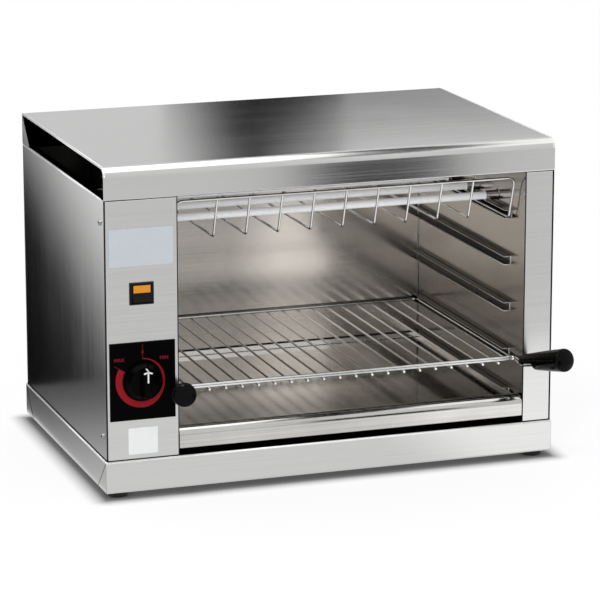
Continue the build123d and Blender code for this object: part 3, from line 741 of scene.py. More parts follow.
@dataclass
class SheetBody:
    """Folded body, cavity, wires and controls, which keep their CAD shapes and get their finishes."""

    frame: dict
    sheet: float = 0.001
    cover_bend: float = 0.013
    vent_drop: float = 0.006

    def dress(self, finish: Finish, names: Iterable[str]) -> None:
        """Give one finish to several CAD nodes.

        Args:
            finish: The finish.
            names: Names of the nodes.
        """
        material = finish.material()
        for name in names:
            node = self.frame["nodes"][name]
            if not node.material_slots:
                node.data.materials.append(material)
            for place in node.material_slots:
                place.material = material

    def starting(self, *heads: str) -> list[str]:
        """CAD nodes whose names start with one of the given words."""
        return [name for name in self.frame["nodes"] if name.startswith(heads)]

    def vent_boxes(self) -> tuple[Box, ...]:
        """Corners of the space under the cover behind its front bend, and of the space behind its lip, where
        the sheet is painted black as shade.
        """
        low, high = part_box("top_cover")
        skin = self.sheet / 2
        left, right = low.x + skin, high.x - skin
        bend = low.y + self.cover_bend
        floor = low.z - self.vent_drop
        under = ((left, bend, floor), (right, high.y - skin, high.z - skin))
        behind = ((left, low.y + self.sheet + skin, floor), (right, bend, high.z - self.cover_bend))
        return under, behind

    def outer_sheets(self) -> None:
        """Dress the folded body."""
        # painted shade: both brushed finishes turn black inside the vent
        painted_vent_shade = self.vent_boxes()
        across = BrushedSheet("brushed_sheet_across", Along.X, painted_shade_boxes=painted_vent_shade)
        self.dress(across, ["base_pan", "control_panel", "right_column", "back_panel", "top_cover"])
        upright = BrushedSheet("brushed_sheet_side", Along.Z, painted_shade_boxes=painted_vent_shade)
        self.dress(upright, self.starting("side_panel"))

    def cavity_sheets(self) -> None:
        """Dress the cavity's walls, rails and drip tray."""
        # painted reflection: bright upright strip in the middle of the back wall, painted shade towards both
        # sides
        back = BrightSheet("bright_sheet_back", Along.X, painted_reflection=0.72, lean=0.6)
        self.dress(back, ["cavity_back"])
        # painted reflection: bright strip about 0.30 m up the walls, painted shade above and below it
        walls = BrightSheet(
            "bright_sheet_side",
            Along.Y,
            colour=(0.47, 0.44, 0.405),
            painted_reflection=1.05,
            reflection_axis="Z",
            bright_place=0.30,
            bright_half=0.2,
        )
        self.dress(walls, self.starting("cavity_wall", "tube_bracket", "ceiling"))
        # painted reflection: dark strip across the tray near its front, lighter before and behind it
        tray = BrightSheet(
            "bright_sheet_tray",
            Along.X,
            colour=(0.68, 0.665, 0.64),
            roughness=0.11,
            painted_reflection=-0.95,
            reflection_axis="Y",
            bright_place=-0.10,
            bright_half=0.12,
            level=-0.45,
        )
        self.dress(tray, ["drip_tray"])
        # painted shade: the rails' steel is far darker than steel, for the shade inside their channels
        rail = PlainMetal("rail_metal_painted_shade_finish", colour=(0.12, 0.117, 0.111), roughness=0.22)
        self.dress(rail, self.starting("rail_"))

    def wires_and_metal(self) -> None:
        """Dress the wires, the tubes with their caps and coils, and the small metal pieces."""
        self.dress(PlatedWire(), self.starting("guard_", "rack_frame", "rack_front", "rack_grid"))
        self.dress(FrostedQuartz(), self.starting("quartz_tube"))
        cap = PlainMetal("cap_metal_finish", colour=even(0.74), roughness=0.2)
        self.dress(cap, self.starting("tube_caps"))
        coil = PlainMetal("heating_wire_finish", colour=(0.24, 0.20, 0.18), roughness=0.5)
        self.dress(coil, ["heating_coils"])
        steel = PlainMetal("screw_steel_finish", colour=even(0.42), roughness=0.32)
        self.dress(steel, ["foot_screws", "side_screws", "back_screws", "knob_shaft", "regulator_nut"])
        brass = PlainMetal("terminal_brass_finish", colour=(0.70, 0.52, 0.22), roughness=0.3)
        self.dress(brass, ["switch_terminals"])

    def plastics(self) -> None:
        """Dress the feet, handles, controls and electric pieces."""
        rubber = Moulding("foot_rubber_finish", colour=even(0.022), roughness=0.75, strength=0.25)
        self.dress(rubber, self.starting("foot_front", "foot_back"))
        black = Moulding(
            "black_plastic_finish", colour=even(0.002), roughness=0.10, strength=0.02, sheen=0.07
        )
        self.dress(black, [*self.starting("rack_handle"), "cable_gland", "gland_nut"])
        knob = Moulding("knob_plastic_finish", colour=even(0.001), roughness=0.16, strength=0.02, sheen=0.03)
        self.dress(knob, ["control_knob"])
        switch = Moulding(
            "switch_plastic_finish", colour=even(0.005), roughness=0.22, strength=0.04, sheen=0.12
        )
        self.dress(switch, ["switch_housing", "switch_rocker"])
        self.dress(AmberLens(), ["switch_lens"])
        dial = PrintInk("dial_black_finish", colour=even(0.001), roughness=0.38, sheen=0.02)
        self.dress(dial, ["dial_plate"])
        grey = Moulding("moulded_grey_finish", colour=(0.42, 0.41, 0.37), roughness=0.5)
        self.dress(grey, ["regulator", "terminal_block"])

    def build(self) -> None:
        """Dress every CAD node."""
        self.outer_sheets()
        self.cavity_sheets()
        self.wires_and_metal()
        self.plastics()
        LOG.info("dressed %d CAD nodes", len(self.frame["nodes"]))


def add_rods(shape: Mesh, runs: Iterable[Run], radius: float, sides: int = 16) -> None:
    """Add round rods from point to point of each run, every rod with a domed end.

    Args:
        shape: The mesh that gets the rods.
        runs: The points that they join, run by run.
        radius: Their radius.
        sides: Number of their sides.
    """
    for first, second in itertools.chain.from_iterable(map(itertools.pairwise, runs)):
        start, end = Vector(first), Vector(second)
        run = end - start
        turn = run.to_track_quat("Z", "Y").to_matrix().to_4x4()
        bmesh.ops.create_cone(
            shape,
            cap_ends=True,
            segments=sides,
            radius1=radius,
            radius2=radius,
            depth=run.length,
            matrix=Matrix.Translation((start + end) / 2) @ turn,
        )
        dome = Matrix.Translation(end) @ turn
        bmesh.ops.create_uvsphere(shape, u_segments=sides, v_segments=sides // 2, radius=radius, matrix=dome)


@dataclass
class PaintedHighlightRods:
    """Folds and edges of the body, drawn over as thin rods with a painted highlight where the folds catch the
    light.
    """

    radius: float = 0.0016
    proud: float = 0.00015
    cover_bend: float = 0.012
    bend_steps: int = 6
    lip_radius: float = 0.0006
    lip_proud: float = 0.0001
    lip_sides: int = 8

    def base_edge(self) -> Iterator[Run]:
        """Fold all round the top of the base."""
        inset = self.radius - self.proud
        low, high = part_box("base_pan")
        level = high.z - inset
        left, right, front, back = low.x + inset, high.x - inset, low.y + inset, high.y - inset
        corners = ((left, front), (right, front), (right, back), (left, back), (left, front))
        yield [(x, y, level) for x, y in corners]

    def cover_edges(self) -> Iterator[Run]:
        """Side edges of the cover, round its front bend and along its top."""
        inset = self.radius - self.proud
        low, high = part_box("top_cover")
        reach = self.cover_bend - inset
        for side in Side:
            x = side.edge("top_cover", inset)
            points = []
            for step in range(self.bend_steps + 1):
                turn = QUARTER_TURN * step / self.bend_steps
                y = low.y + self.cover_bend - reach * math.cos(turn)
                z = high.z - self.cover_bend + reach * math.sin(turn)
                points.append((x, y, z))
            points.append((x, high.y - inset, high.z - inset))
            yield points

    def panel_edges(self) -> Iterator[Run]:
        """Top folds of both side panels."""
        inset = self.radius - self.proud
        for side in Side:
            panel = f"side_panel_{side.word()}"
            low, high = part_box(panel)
            x = side.edge(panel, inset)
            level = high.z - inset
            yield [(x, low.y + inset, level), (x, high.y - inset, level)]

    def rail_lips(self) -> Iterator[Run]:
        """Lips of the rails along both sides of the cavity, and the cut edge of each rail's front end."""
        inset = self.lip_radius - self.lip_proud
        for side, level in itertools.product(Side, ("tray", "rack", "middle", "upper", "guard")):
            rail = f"rail_{level}_{side.word()}"
            low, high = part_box(rail)
            lip = side.other().edge(rail, inset)
            web = side.edge(rail, self.lip_radius)
            front, back = low.y + inset, high.y - inset
            bottom, top = low.z + self.lip_radius, high.z - self.lip_radius
            for z in (bottom, top):
                yield [(lip, front, z), (lip, back, z)]
            cut = ((lip, top), (web, top), (web, bottom), (lip, bottom))
            yield [(x, front, z) for x, z in cut]

    def cavity_corners(self) -> Iterator[Run]:
        """Upright folds where the cavity's walls meet its back."""
        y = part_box("cavity_back")[0].y - self.lip_radius
        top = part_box("ceiling")[0].z
        for side in Side:
            x = side.other().edge(f"cavity_wall_{side.word()}", -self.lip_radius)
            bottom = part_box(f"rail_tray_{side.word()}")[0].z
            yield [(x, y, bottom), (x, y, top)]

    def build(self) -> None:
        """Make all edges as one piece."""
        shape = bmesh.new()
        folds = (*self.base_edge(), *self.cover_edges(), *self.panel_edges())
        add_rods(shape, folds, self.radius)
        lips = (*self.rail_lips(), *self.cavity_corners())
        add_rods(shape, lips, self.lip_radius, self.lip_sides)
        # painted highlight: near-white metal over the folds, lips and corners
        bright = PlainMetal("painted_highlight_finish", colour=even(0.92), roughness=0.26, metal=0.35)
        smooth(make_piece("painted_highlight_rods", shape, bright.material(), "body"))


@dataclass
class JointLines:
    """Dark hairlines in the joints between the folded sheets."""

    radius: float = 0.0007
    proud: float = 0.0003
    corner_gap: float = 0.0005
    seam_bend: float = 0.002
    seam_run: float = 0.038

    def panel_joints(self) -> Iterator[Run]:
        """Joints of the posts and the side panels with the base, and upright ones at the posts' edges."""
        for side, post in ((Side.LEFT, "control_panel"), (Side.RIGHT, "right_column")):
            low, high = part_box(post)
            front, level = low.y - self.proud, low.z + self.radius
            yield [(low.x, front, level), (high.x, front, level)]
            panel = f"side_panel_{side.word()}"
            panel_low, panel_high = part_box(panel)
            face = side.edge(panel, -self.proud)
            yield [(face, panel_low.y, level), (face, panel_high.y, level)]
            depth = low.y + self.corner_gap
            for x in (side.edge(post, -self.corner_gap), side.other().edge(post, -self.radius)):
                yield [(x, depth, low.z), (x, depth, high.z)]

    def base_seams(self) -> Iterator[Run]:
        """Slanted seams on the side walls of the base."""
        low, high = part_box("base_pan")
        top, bottom = high.z - self.seam_bend, low.z + self.seam_bend
        for x in (low.x, high.x):
            for corner, inward in ((low.y, 1.0), (high.y, -1.0)):
                start = (x, corner + inward * self.seam_bend, top)
                end = (x, corner + inward * self.seam_run, bottom)
                yield [start, end]

    def build(self) -> None:
        """Make all lines as one piece."""
        shape = bmesh.new()
        add_rods(shape, self.panel_joints(), self.radius)
        add_rods(shape, self.base_seams(), self.proud)
        dark = Moulding("joint_dark_finish", colour=even(0.012), roughness=0.6, sheen=0.05)
        smooth(make_piece("joint_lines", shape, dark.material(), "body"))


def round_corners(
    shape: Mesh, edges: Iterable[bmesh.types.BMEdge], thickness: float, radius: float, steps: int
) -> None:
    """Round the four corners of a thin plate that faces the front.

    Args:
        shape: The mesh that holds the plate.
        edges: The plate's edges.
        thickness: The plate's thickness.
        radius: Radius of the corners.
        steps: Number of faces round each corner.
    """
    short = [edge for edge in edges if abs(edge.verts[0].co.y - edge.verts[1].co.y) > thickness / 2]
    bmesh.ops.bevel(
        shape, geom=short, offset=radius, affect="EDGES", segments=steps, profile=0.5, material=-1
    )


@dataclass
class BarePlates:
    """Bare label plates on the control panel."""

    thickness: float = 0.0004
    corner: float = 0.0015
    corner_steps: int = 4
    badge_width: float = 0.082
    badge_height: float = 0.047
    badge_level: float = 0.3195
    tag_width: float = 0.038
    tag_height: float = 0.034
    tag_level: float = 0.073

    def plate(self, name: str, width: float, height: float, level: float, finish: Finish) -> None:
        """Lay one plate with rounded corners on the control panel.

        Args:
            name: Name of the piece.
            width: Its width.
            height: Its height.
            level: Height of its middle above the counter.
            finish: Its finish.
        """
        shape = bmesh.new()
        bmesh.ops.create_cube(shape, size=1.0)
        bmesh.ops.scale(shape, vec=(width, self.thickness, height), verts=shape.verts)
        round_corners(shape, shape.edges, self.thickness, self.corner, self.corner_steps)
        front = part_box("control_panel")[0].y - self.thickness / 2
        bmesh.ops.translate(shape, vec=(middle_of("control_panel").x, front, level), verts=shape.verts)
        make_piece(name, shape, finish.material(), "body")

    def build(self) -> None:
        """Make both plates."""
        badge = PrintInk("badge_plate_finish", colour=(0.525, 0.565, 0.60), roughness=0.28)
        tag = PrintInk("tag_plate_finish", colour=(0.86, 0.87, 0.87), roughness=0.5)
        self.plate("badge_plate", self.badge_width, self.badge_height, self.badge_level, badge)
        self.plate("tag_plate", self.tag_width, self.tag_height, self.tag_level, tag)


@dataclass
class DialPrint:
    """Printed heat scale round the knob.

    The band's inner and outer radii are known at a few turns, in degrees clockwise from the top. Each line
    has its turn and the radii of its ends, and each word its turn and the radius of its middle.
    """

    ink: float = 0.0001
    band_turns: tuple[float, ...] = (0.0, 90.0, 180.0, 300.0)
    band_inner: tuple[float, ...] = (0.0277, 0.0252, 0.0264, 0.0262)
    band_outer: tuple[float, ...] = (0.0290, 0.0285, 0.0340, 0.0352)
    steps: int = 96
    line_width: float = 0.0009
    lines: tuple[Stretch, ...] = ((0.0, 0.0288, 0.0337), (0.0, 0.0400, 0.0466), (300.0, 0.0350, 0.0422))
    word_size: float = 0.0061
    word_weight: float = 0.00018
    words: tuple[tuple[str, float, float], ...] = (
        ("MAX", -46.8, 0.0413),
        ("0", 0.0, 0.0366),
        ("MIN", 45.0, 0.0390),
    )
    sheen: float = 0.05

    def radius_at(self, turn: float, radii: Sequence[float]) -> float:
        """Radius of the band's edge at a turn, eased between the known ones.

        Args:
            turn: Turn clockwise from the top, in degrees.
            radii: The edge's radii at the known turns.

        Returns:
            The radius at the turn.
        """
        last = len(self.band_turns) - 1
        index = next((place for place in range(1, last) if turn <= self.band_turns[place]), last)
        before, after = self.band_turns[index - 1], self.band_turns[index]
        share = (turn - before) / (after - before)
        eased = share * share * (3.0 - 2.0 * share)
        return radii[index - 1] + eased * (radii[index] - radii[index - 1])

    def finish_print(self, name: str, shape: Mesh, finish: Finish) -> None:
        """Give flat print its ink's thickness and lay it on the dial plate, on the knob's axis.

        Args:
            name: Name of the piece.
            shape: The flat print about the origin, facing the front.
            finish: Its ink.
        """
        sheet = bmesh.ops.extrude_face_region(shape, geom=shape.faces[:])
        raised = [item for item in sheet["geom"] if isinstance(item, bmesh.types.BMVert)]
        bmesh.ops.translate(shape, vec=(0.0, -self.ink, 0.0), verts=raised)
        bmesh.ops.translate(shape, vec=self.centre(), verts=shape.verts)
        make_piece(name, shape, finish.material(), "body")

    def centre(self) -> Vector:
        """Point on the dial plate's face, on the knob's axis."""
        middle = middle_of("dial_plate")
        return Vector((middle.x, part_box("dial_plate")[0].y, middle.z))

    def band(self) -> None:
        """Make the red band, which widens clockwise."""
        shape = bmesh.new()
        ends = [shape.verts.new((0.0, 0.0, radii[0])) for radii in (self.band_inner, self.band_outer)]
        line = shape.edges.new(ends)
        sweep = math.radians(self.band_turns[-1])
        axis = (0.0, 1.0, 0.0)
        bmesh.ops.spin(shape, geom=[*ends, line], cent=ORIGIN, axis=axis, angle=sweep, steps=self.steps)
        middle = (self.band_inner[0] + self.band_outer[0]) / 2
        for vert in shape.verts:
            radius = math.hypot(vert.co.x, vert.co.z)
            turn = round(math.degrees(math.atan2(vert.co.x, vert.co.z)), 3) % 360.0
            radii = self.band_outer if radius > middle else self.band_inner
            vert.co *= self.radius_at(turn, radii) / radius
        red = PrintInk("scale_red_ink", colour=(0.29, 0.009, 0.015), roughness=0.4, sheen=self.sheen)
        self.finish_print("dial_scale_band", shape, red)

    def marks(self) -> None:
        """Make the thin lines at the off mark and at the end of the band."""
        shape = bmesh.new()
        for turn, start, end in self.lines:
            corners = bmesh.ops.create_grid(shape, x_segments=1, y_segments=1, size=0.5)["verts"]
            bmesh.ops.scale(shape, vec=(self.line_width, end - start, 1.0), verts=corners)
            bmesh.ops.rotate(shape, cent=ORIGIN, matrix=STAND_UP, verts=corners)
            bmesh.ops.translate(shape, vec=(0.0, 0.0, (start + end) / 2), verts=corners)
            around = Matrix.Rotation(math.radians(turn), 3, "Y")
            bmesh.ops.rotate(shape, cent=ORIGIN, matrix=around, verts=corners)
        thin = PrintInk("scale_line_ink", colour=(0.11, 0.006, 0.016), roughness=0.45, sheen=self.sheen)
        self.finish_print("dial_scale_lines", shape, thin)

    def word_mesh(self, word: str) -> Mesh:
        """Mesh of one plain word, lying about the origin.

        Args:
            word: The word.

        Returns:
            The mesh, as thick as the ink.
        """
        letters = bpy.data.curves.new("letters", "FONT")
        letters.body = word
        letters.size = self.word_size
        letters.offset = self.word_weight
        letters.align_x = "CENTER"
        letters.align_y = "CENTER"
        letters.extrude = self.ink / 2
        holder = bpy.data.objects.new("letters", letters)
        bpy.context.scene.collection.objects.link(holder)
        bpy.context.view_layer.update()
        mesh = bpy.data.meshes.new_from_object(holder.evaluated_get(bpy.context.evaluated_depsgraph_get()))
        bpy.data.objects.remove(holder)
        shape = bmesh.new()
        shape.from_mesh(mesh)
        bpy.data.meshes.remove(mesh)
        return shape

    def letter(self) -> None:
        """Make the plain words at the ends of the scale and the off mark."""
        dark = PrintInk("scale_dark_red_ink", colour=(0.19, 0.008, 0.022), roughness=0.45, sheen=self.sheen)
        ink = dark.material()
        for word, turn, radius in self.words:
            shape = self.word_mesh(word)
            bmesh.ops.rotate(shape, cent=ORIGIN, matrix=STAND_UP, verts=shape.verts)
            angle = math.radians(turn)
            offset = Vector((radius * math.sin(angle), -self.ink / 2, radius * math.cos(angle)))
            bmesh.ops.translate(shape, vec=self.centre() + offset, verts=shape.verts)
            make_piece("dial_word_" + word.lower(), shape, ink, "body")

    def build(self) -> None:
        """Make the whole print."""
        self.band()
        self.marks()
        self.letter()


@dataclass
class KnobPointer:
    """White arrow on the front of the knob's grip and over its end, measured from the knob's axis: a printed
    pointer with arms of painted highlight.
    """

    width: float = 0.0020
    thickness: float = 0.0002
    corner_share: float = 1.0 / 3.0
    corner_steps: int = 3
    top: float = 0.0166
    bottom: float = 0.0030
    # painted highlight: the two arms stand for the light along the grip's top edge
    arm_length: float = 0.0058
    arm_turn: float = 73.0
    edge_radius: float = 0.0015
    edge_run: float = 0.0012
    edge_turn: float = 45.0
    end_place: float = 0.0182
    end_run: float = 0.0082
    end_turn: float = 84.0

    def bar(self, shape: Mesh, bottom: float, top: float) -> list[bmesh.types.BMVert]:
        """Add one upright bar with rounded corners, on the knob's axis.

        Args:
            shape: The mesh that gets the bar.
            bottom: Its lower end above the axis.
            top: Its upper end above the axis.

        Returns:
            The bar's corners.
        """
        known = set(shape.verts)
        made = bmesh.ops.create_cube(shape, size=1.0)["verts"]
        bmesh.ops.scale(shape, vec=(self.width, self.thickness, top - bottom), verts=made)
        edges = {edge for vert in made for edge in vert.link_edges}
        round_corners(shape, edges, self.thickness, self.width * self.corner_share, self.corner_steps)
        corners = [vert for vert in shape.verts if vert not in known]
        bmesh.ops.translate(shape, vec=(0.0, 0.0, (top + bottom) / 2), verts=corners)
        return corners

    def over_the_end(self, shape: Mesh) -> None:
        """Run the arrow on round the edge of the grip and back along its sloping end.

        Args:
            shape: The mesh that gets them.
        """
        half = self.edge_radius * math.cos(math.radians(self.edge_turn))
        edge_middle = (0.0, self.edge_radius - half, self.end_place - self.edge_radius + half)
        depth = self.edge_radius + self.end_run / 2
        end_middle = (0.0, depth, self.end_place + depth / math.tan(math.radians(self.end_turn)))
        runs = ((self.edge_run, self.edge_turn, edge_middle), (self.end_run, self.end_turn, end_middle))
        for length, turn, place in runs:
            strip = self.bar(shape, -length / 2, length / 2)
            back = Matrix.Rotation(math.radians(-turn), 3, "X")
            bmesh.ops.rotate(shape, cent=ORIGIN, matrix=back, verts=strip)
            bmesh.ops.translate(shape, vec=place, verts=strip)

    def build(self) -> None:
        """Make the arrow, which turns with the knob."""
        shape = bmesh.new()
        self.bar(shape, self.bottom, self.top)
        for side in Side:
            arm = self.bar(shape, self.top - self.arm_length, self.top)
            lean = Matrix.Rotation(math.radians(side.value * self.arm_turn), 3, "Y")
            bmesh.ops.rotate(shape, cent=(0.0, 0.0, self.top), matrix=lean, verts=arm)
        self.over_the_end(shape)
        centre = middle_of("control_knob")
        place = (centre.x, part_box("control_knob")[0].y - self.thickness / 2, centre.z)
        bmesh.ops.translate(shape, vec=place, verts=shape.verts)
        white = PrintInk("pointer_ink_and_painted_highlight", colour=(0.86, 0.86, 0.85), roughness=0.4)
        make_piece("knob_pointer", shape, white.material(), "knob")


@dataclass
class ScrewRecesses:
    """Cross recesses in the heads of the panel screws, drawn as dark crosses of painted shade."""

    head_radius: float = 0.0038
    arm_length: float = 0.0042
    arm_width: float = 0.0009
    depth: float = 0.0002

    def crosses(self, name: str, places: Iterable[Stretch], run: Along, finish: Material) -> None:
        """Make the crosses of several screws as one piece.

        Args:
            name: Name of the piece.
            places: Middles of the screws' heads.
            run: Direction in which the screws run.
            finish: Their material.
        """
        shape = bmesh.new()
        for place, arm in itertools.product(places, Along):
            if arm is run:
                continue
            size = [self.arm_width] * 3
            size[run.value] = self.depth
            size[arm.value] = self.arm_length
            made = bmesh.ops.create_cube(shape, size=1.0)["verts"]
            bmesh.ops.scale(shape, vec=size, verts=made)
            bmesh.ops.translate(shape, vec=place, verts=made)
        make_piece(name, shape, finish, "body")

    def build(self) -> None:
        """Make the recesses of the side and back screws."""
        dark = Moulding("recess_painted_shade_finish", colour=even(0.03), roughness=0.6).material()
        low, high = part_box("side_screws")
        levels = (low.z + self.head_radius, high.z - self.head_radius)
        middle = (low.y + high.y) / 2
        places = [(x, middle, z) for x in (low.x, high.x) for z in levels]
        self.crosses("side_screw_recesses", places, Along.X, dark)
        low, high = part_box("back_screws")
        levels = (low.z + self.head_radius, (low.z + high.z) / 2, high.z - self.head_radius)
        columns = (low.x + self.head_radius, high.x - self.head_radius)
        places = [(x, high.y, z) for x in columns for z in levels]
        self.crosses("back_screw_recesses", places, Along.Y, dark)


@dataclass
class RackWelds:
    """Small welds where the rack's grid wires meet the wires above them."""

    wire_radius: float = 0.0015
    frame_radius: float = 0.002
    front_inset: float = 0.004
    wire_count: int = 20
    bead: Stretch = (0.0020, 0.0016, 0.0011)

    def build(self) -> None:
        """Make the welds under the front wires and under the back wire."""
        low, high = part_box("rack_grid")
        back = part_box("rack_frame")[1].y - self.frame_radius
        first = low.x + self.wire_radius
        pitch = (high.x - low.x - 2 * self.wire_radius) / (self.wire_count - 1)
        shape = bmesh.new()
        for index, y in itertools.product(range(self.wire_count), (low.y + self.front_inset, back)):
            made = bmesh.ops.create_icosphere(shape, subdivisions=1, radius=1.0)["verts"]
            bmesh.ops.scale(shape, vec=self.bead, verts=made)
            bmesh.ops.translate(shape, vec=(first + index * pitch, y, high.z), verts=made)
        bead = PlatedWire("weld_bead_finish")
        smooth(make_piece("rack_welds", shape, bead.material(), "rack"))


def put_up(name: str, shape: Mesh, material: Material, place: Vector) -> bpy.types.Object:
    """Put up a piece of the studio, which is no part of the grill.

    Args:
        name: Name of the piece.
        shape: Its mesh.
        material: Its material.
        place: Point from which its mesh is counted.

    Returns:
        The new object.
    """
    piece = new_object(name, shape, material)
    piece.location = place
    piece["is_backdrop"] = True
    return piece


class Stand(Enum):
    """How a card of the studio stands."""

    UPRIGHT = "XZ"
    LYING = "XY"
    SIDEWAYS = "YZ"

    def turn(self) -> Matrix:
        """Turn from a lying card to this one."""
        if self is Stand.UPRIGHT:
            return STAND_UP
        if self is Stand.SIDEWAYS:
            return Matrix.Rotation(QUARTER_TURN, 3, "Z") @ STAND_UP
        return Matrix.Identity(3)


@dataclass(frozen=True)
class Card:
    """One card that shows only in reflections, with a shade that may rise along a direction.

    The shade goes smoothly from dark to light while the place along the slope rises from zero to one.
    """

    name: str
    stand: Stand
    place: Stretch
    size: tuple[float, float]
    light: float
    dark: float = 0.0
    slope: Stretch = ORIGIN
    start: float = 1.0

    def material(self) -> Material:
        """Make the card's glowing shade."""
        board = FinishBoard(self.name + "_shade")
        rise: Number = self.start
        for place, slope in zip(board.axes().values(), self.slope):
            rise = rise + place * slope
        shade = board.blend(board.rise(rise), even(self.dark), even(self.light))
        board.finish_with(board.glow(shade))
        return board.material

    def build(self, centre: Vector) -> None:
        """Put the card up.

        Args:
            centre: Point on the floor under the middle of the body, from which places are counted.
        """
        shape = bmesh.new()
        bmesh.ops.create_grid(shape, x_segments=1, y_segments=1, size=0.5)
        bmesh.ops.scale(shape, vec=(*self.size, 1.0), verts=shape.verts)
        bmesh.ops.rotate(shape, cent=ORIGIN, matrix=self.stand.turn(), verts=shape.verts)
        bmesh.ops.translate(shape, vec=self.place, verts=shape.verts)
        card = put_up(self.name, shape, self.material(), centre)
        card.visible_camera = False
        card.visible_diffuse = False
        card.visible_shadow = False
        card.visible_transmission = False


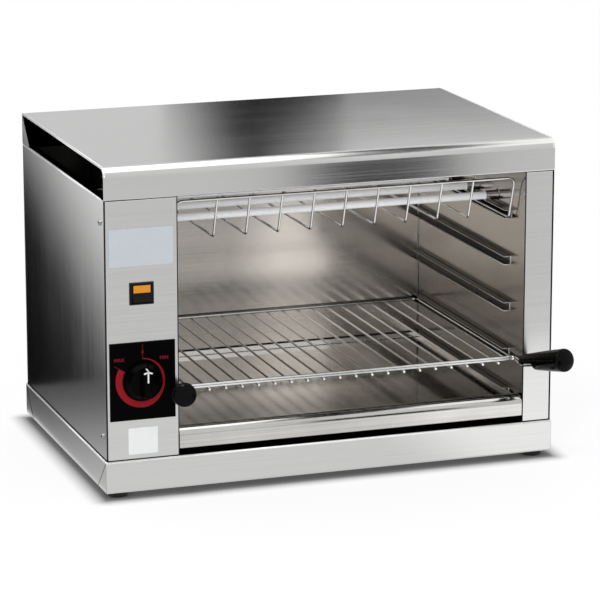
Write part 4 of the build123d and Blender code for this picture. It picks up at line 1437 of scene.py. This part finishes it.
@dataclass
class Studio:
    """Camera, floor, soft light and cards of the studio, placed from the middle of the body."""

    centre: Vector
    camera_place: Stretch = (-1.3123, -3.8542, 1.1796)
    camera_turn: float = 19.115
    camera_drop: float = 13.704
    camera_reach: float = 100.0
    lens: float = 191.07
    sensor: float = 36.0
    floor_half: float = 14.0
    floor_white: Colour = even(0.90)
    floor_painted_shadow: Colour = even(0.24)
    floor_roughness: float = 0.9
    floor_light: float = 1.03
    floor_gloss: float = 0.90
    far_glow: float = 0.80
    shadow_reach: float = 0.026
    body_half: tuple[float, float] = (0.300, 0.200)
    world_light: float = 0.95
    gloss_light: float = 0.97
    lamp_place: Stretch = (-0.7, -1.5, 2.3)
    lamp_aim: Stretch = (0.0, 0.0, 0.2)
    lamp_size: float = 0.35
    lamp_power: float = 12.0
    rear_depth: float = 1.15
    rear_level: float = 0.60
    rear_height: float = 0.70
    card_lift: float = 0.002
    near_depth: float = -0.48
    near_width: float = 0.52
    high_depth: float = -0.20
    high_level: float = 1.60
    high_width: float = 1.90

    def camera(self) -> None:
        """Stand the camera where the picture was taken."""
        data = bpy.data.cameras.new("studio_camera")
        data.lens = self.lens
        data.sensor_width = self.sensor
        data.clip_end = self.camera_reach
        holder = bpy.data.objects.new("studio_camera", data)
        holder.location = Vector(self.camera_place) + self.centre
        tilt = QUARTER_TURN - math.radians(self.camera_drop)
        holder.rotation_euler = (tilt, 0.0, math.radians(-self.camera_turn))
        bpy.context.scene.collection.objects.link(holder)
        bpy.context.scene.camera = holder

    def outside_painted_shadow(self, board: FinishBoard) -> Value:
        """Zero on the floor right beside the body, and one from the reach of its painted shadow on.

        Args:
            board: The node tree that asks.

        Returns:
            The share of the open floor.
        """
        axes = board.axes()
        squared: Number = 0.0
        for axis, half in zip("XY", self.body_half):
            beside = (axes[axis].magnitude() - half).larger(0.0) * (1.0 / self.shadow_reach)
            squared = beside * beside + squared
        return squared.root().smaller(1.0)

    def floor(self) -> None:
        """Lay the white floor, which keeps the object's shadow and is painted darker right beside the body as
        a contact shadow.
        """
        board = FinishBoard("studio_floor_white")
        away = self.outside_painted_shadow(board)
        # painted shadow: the floor's colour darkens towards the body
        colour = board.blend(away, self.floor_painted_shadow, self.floor_white)
        board.shade(base_color=colour, roughness=self.floor_roughness, specular_ior_level=0.0)
        seen, gloss = board.rays()
        factor = (seen * (self.far_glow * away)).larger(gloss)
        light = board.blend(gloss, even(self.floor_light), even(self.floor_gloss))
        mixed = board.node("ShaderNodeMixShader", {}, {"Fac": factor})
        board.feed(mixed.inputs[1], board.shader.outputs["BSDF"])
        board.feed(mixed.inputs[2], board.glow(light))
        board.finish_with(mixed.outputs["Shader"])
        shape = bmesh.new()
        bmesh.ops.create_grid(shape, x_segments=1, y_segments=1, size=self.floor_half)
        put_up("studio_floor", shape, board.material, self.centre)

    def rear_card(self, name: str, x: float, width: float, **shade: object) -> Card:
        """Upright card behind the grill, which the top of the cover mirrors.

        Args:
            name: Name of the card.
            x: Its middle.
            width: Its width.
            shade: Its light, and its dark, slope and start if it has them.

        Returns:
            The card.
        """
        place = (x, self.rear_depth, self.rear_level)
        return Card(name, Stand.UPRIGHT, place, (width, self.rear_height), **shade)

    def high_card(self, name: str, x: float, width: float, light: float) -> Card:
        """Lying card high above the grill, which its front bend and wires mirror."""
        place = (x, self.high_depth, self.high_level)
        return Card(name, Stand.LYING, place, (width, self.high_width), light)

    def floor_card(self, name: str, x: float, width: float, **shade: object) -> Card:
        """Lying card on the floor before the grill, which its front mirrors, shaded as a rear card is."""
        place = (x, self.near_depth, self.card_lift)
        return Card(name, Stand.LYING, place, (width, self.near_width), **shade)

    def side_cards(self) -> list[Card]:
        """Cards at the left, which the side panel mirrors, and a dark one for the right end of the lip."""
        rear = Card(
            "card_rear_left",
            Stand.UPRIGHT,
            place=(-0.525, 0.35, 0.30),
            size=(0.45, 0.60),
            light=1.10,
            dark=0.004,
            slope=(-7.0, 0.0, 3.0),
            start=-3.12,
        )
        floor = Card(
            "card_floor_left",
            Stand.LYING,
            place=(-0.53, 0.10, self.card_lift),
            size=(0.44, 0.60),
            light=0.70,
            dark=0.10,
            slope=(0.0, -1.6, 0.0),
            start=0.60,
        )
        left = Card("card_left", Stand.SIDEWAYS, place=(-1.30, -0.35, 0.50), size=(1.30, 1.00), light=0.03)
        lip = Card("card_lip", Stand.UPRIGHT, place=(0.455, -1.25, 0.16), size=(0.25, 0.34), light=0.0)
        return [rear, floor, left, lip]

    def cards(self) -> list[Card]:
        """All cards that give the bare sheet its light and dark parts."""
        return [
            *self.side_cards(),
            self.rear_card("card_top_left", x=-0.21, width=0.78, light=0.78),
            self.rear_card(
                "card_top_fall", x=0.27, width=0.18, light=0.78, slope=(-5.5, 0.0, 1.5), start=0.80
            ),
            self.rear_card(
                "card_top_rise", x=0.43, width=0.14, light=0.52, slope=(5.5, 0.0, 5.0), start=-5.38
            ),
            self.rear_card(
                "card_top_right", x=0.80, width=0.60, light=1.20, dark=0.30, slope=(0.0, 0.0, 9.1), start=-6.0
            ),
            self.floor_card("card_floor_near", x=-0.20, width=0.62, light=1.02),
            self.floor_card(
                "card_floor_right",
                x=0.52,
                width=0.82,
                light=1.42,
                dark=1.02,
                slope=(6.0, 0.0, 0.0),
                start=-0.6,
            ),
            self.high_card("card_high_left", x=-0.43, width=1.74, light=2.30),
            self.high_card("card_high_gap", x=0.565, width=0.25, light=0.0),
            self.high_card("card_high_right", x=1.145, width=0.91, light=1.70),
        ]

    def world(self) -> None:
        """White surroundings, a little dimmer in reflections and for the light on the pieces."""
        surroundings = bpy.data.worlds.new("studio_world")
        bpy.context.scene.world = surroundings
        surroundings.use_nodes = True
        board = NodeBoard(surroundings.node_tree)
        background = board.first("BACKGROUND")
        board.feed(background.inputs["Color"], (*even(1.0), 1.0))
        seen, gloss = board.rays()
        strength = self.world_light + (1.0 - self.world_light) * seen
        strength = strength + (self.gloss_light - self.world_light) * gloss
        board.feed(background.inputs["Strength"], strength)

    def lamp(self) -> None:
        """Hang one square soft light."""
        data = bpy.data.lights.new("soft_light_high", "AREA")
        data.shape = "SQUARE"
        data.size = self.lamp_size
        data.energy = self.lamp_power
        holder = bpy.data.objects.new("soft_light_high", data)
        holder.location = Vector(self.lamp_place) + self.centre
        direction = Vector(self.lamp_aim) - Vector(self.lamp_place)
        holder.rotation_euler = direction.to_track_quat("-Z", "Y").to_euler()
        bpy.context.scene.collection.objects.link(holder)

    def build(self) -> None:
        """Set up the whole studio."""
        self.camera()
        self.floor()
        for card in self.cards():
            card.build(self.centre)
        self.world()
        self.lamp()
        bpy.context.scene.view_settings.view_transform = "Standard"
        LOG.info("studio ready")


def write_sizes(cad: Sequence[Vector]) -> None:
    """Work out the CAD box and the dressed box, without writing them.

    Args:
        cad: Lowest and highest corners of the CAD model.
    """
    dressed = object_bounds()
    boxes = {"cad": [list(corner) for corner in cad], "visual": [list(corner) for corner in dressed]}


def main() -> None:
    """Build the studio and dress the grill."""
    logging.basicConfig(level=logging.INFO, format="%(message)s")
    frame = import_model()
    cad = [Vector(corner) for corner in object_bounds()]
    body = middle_of("base_pan")
    Studio(Vector((body.x, body.y, 0.0))).build()
    SheetBody(frame).build()
    PaintedHighlightRods().build()
    JointLines().build()
    BarePlates().build()
    DialPrint().build()
    KnobPointer().build()
    ScrewRecesses().build()
    RackWelds().build()
    write_sizes(cad)


if __name__ == "__main__":
    main()
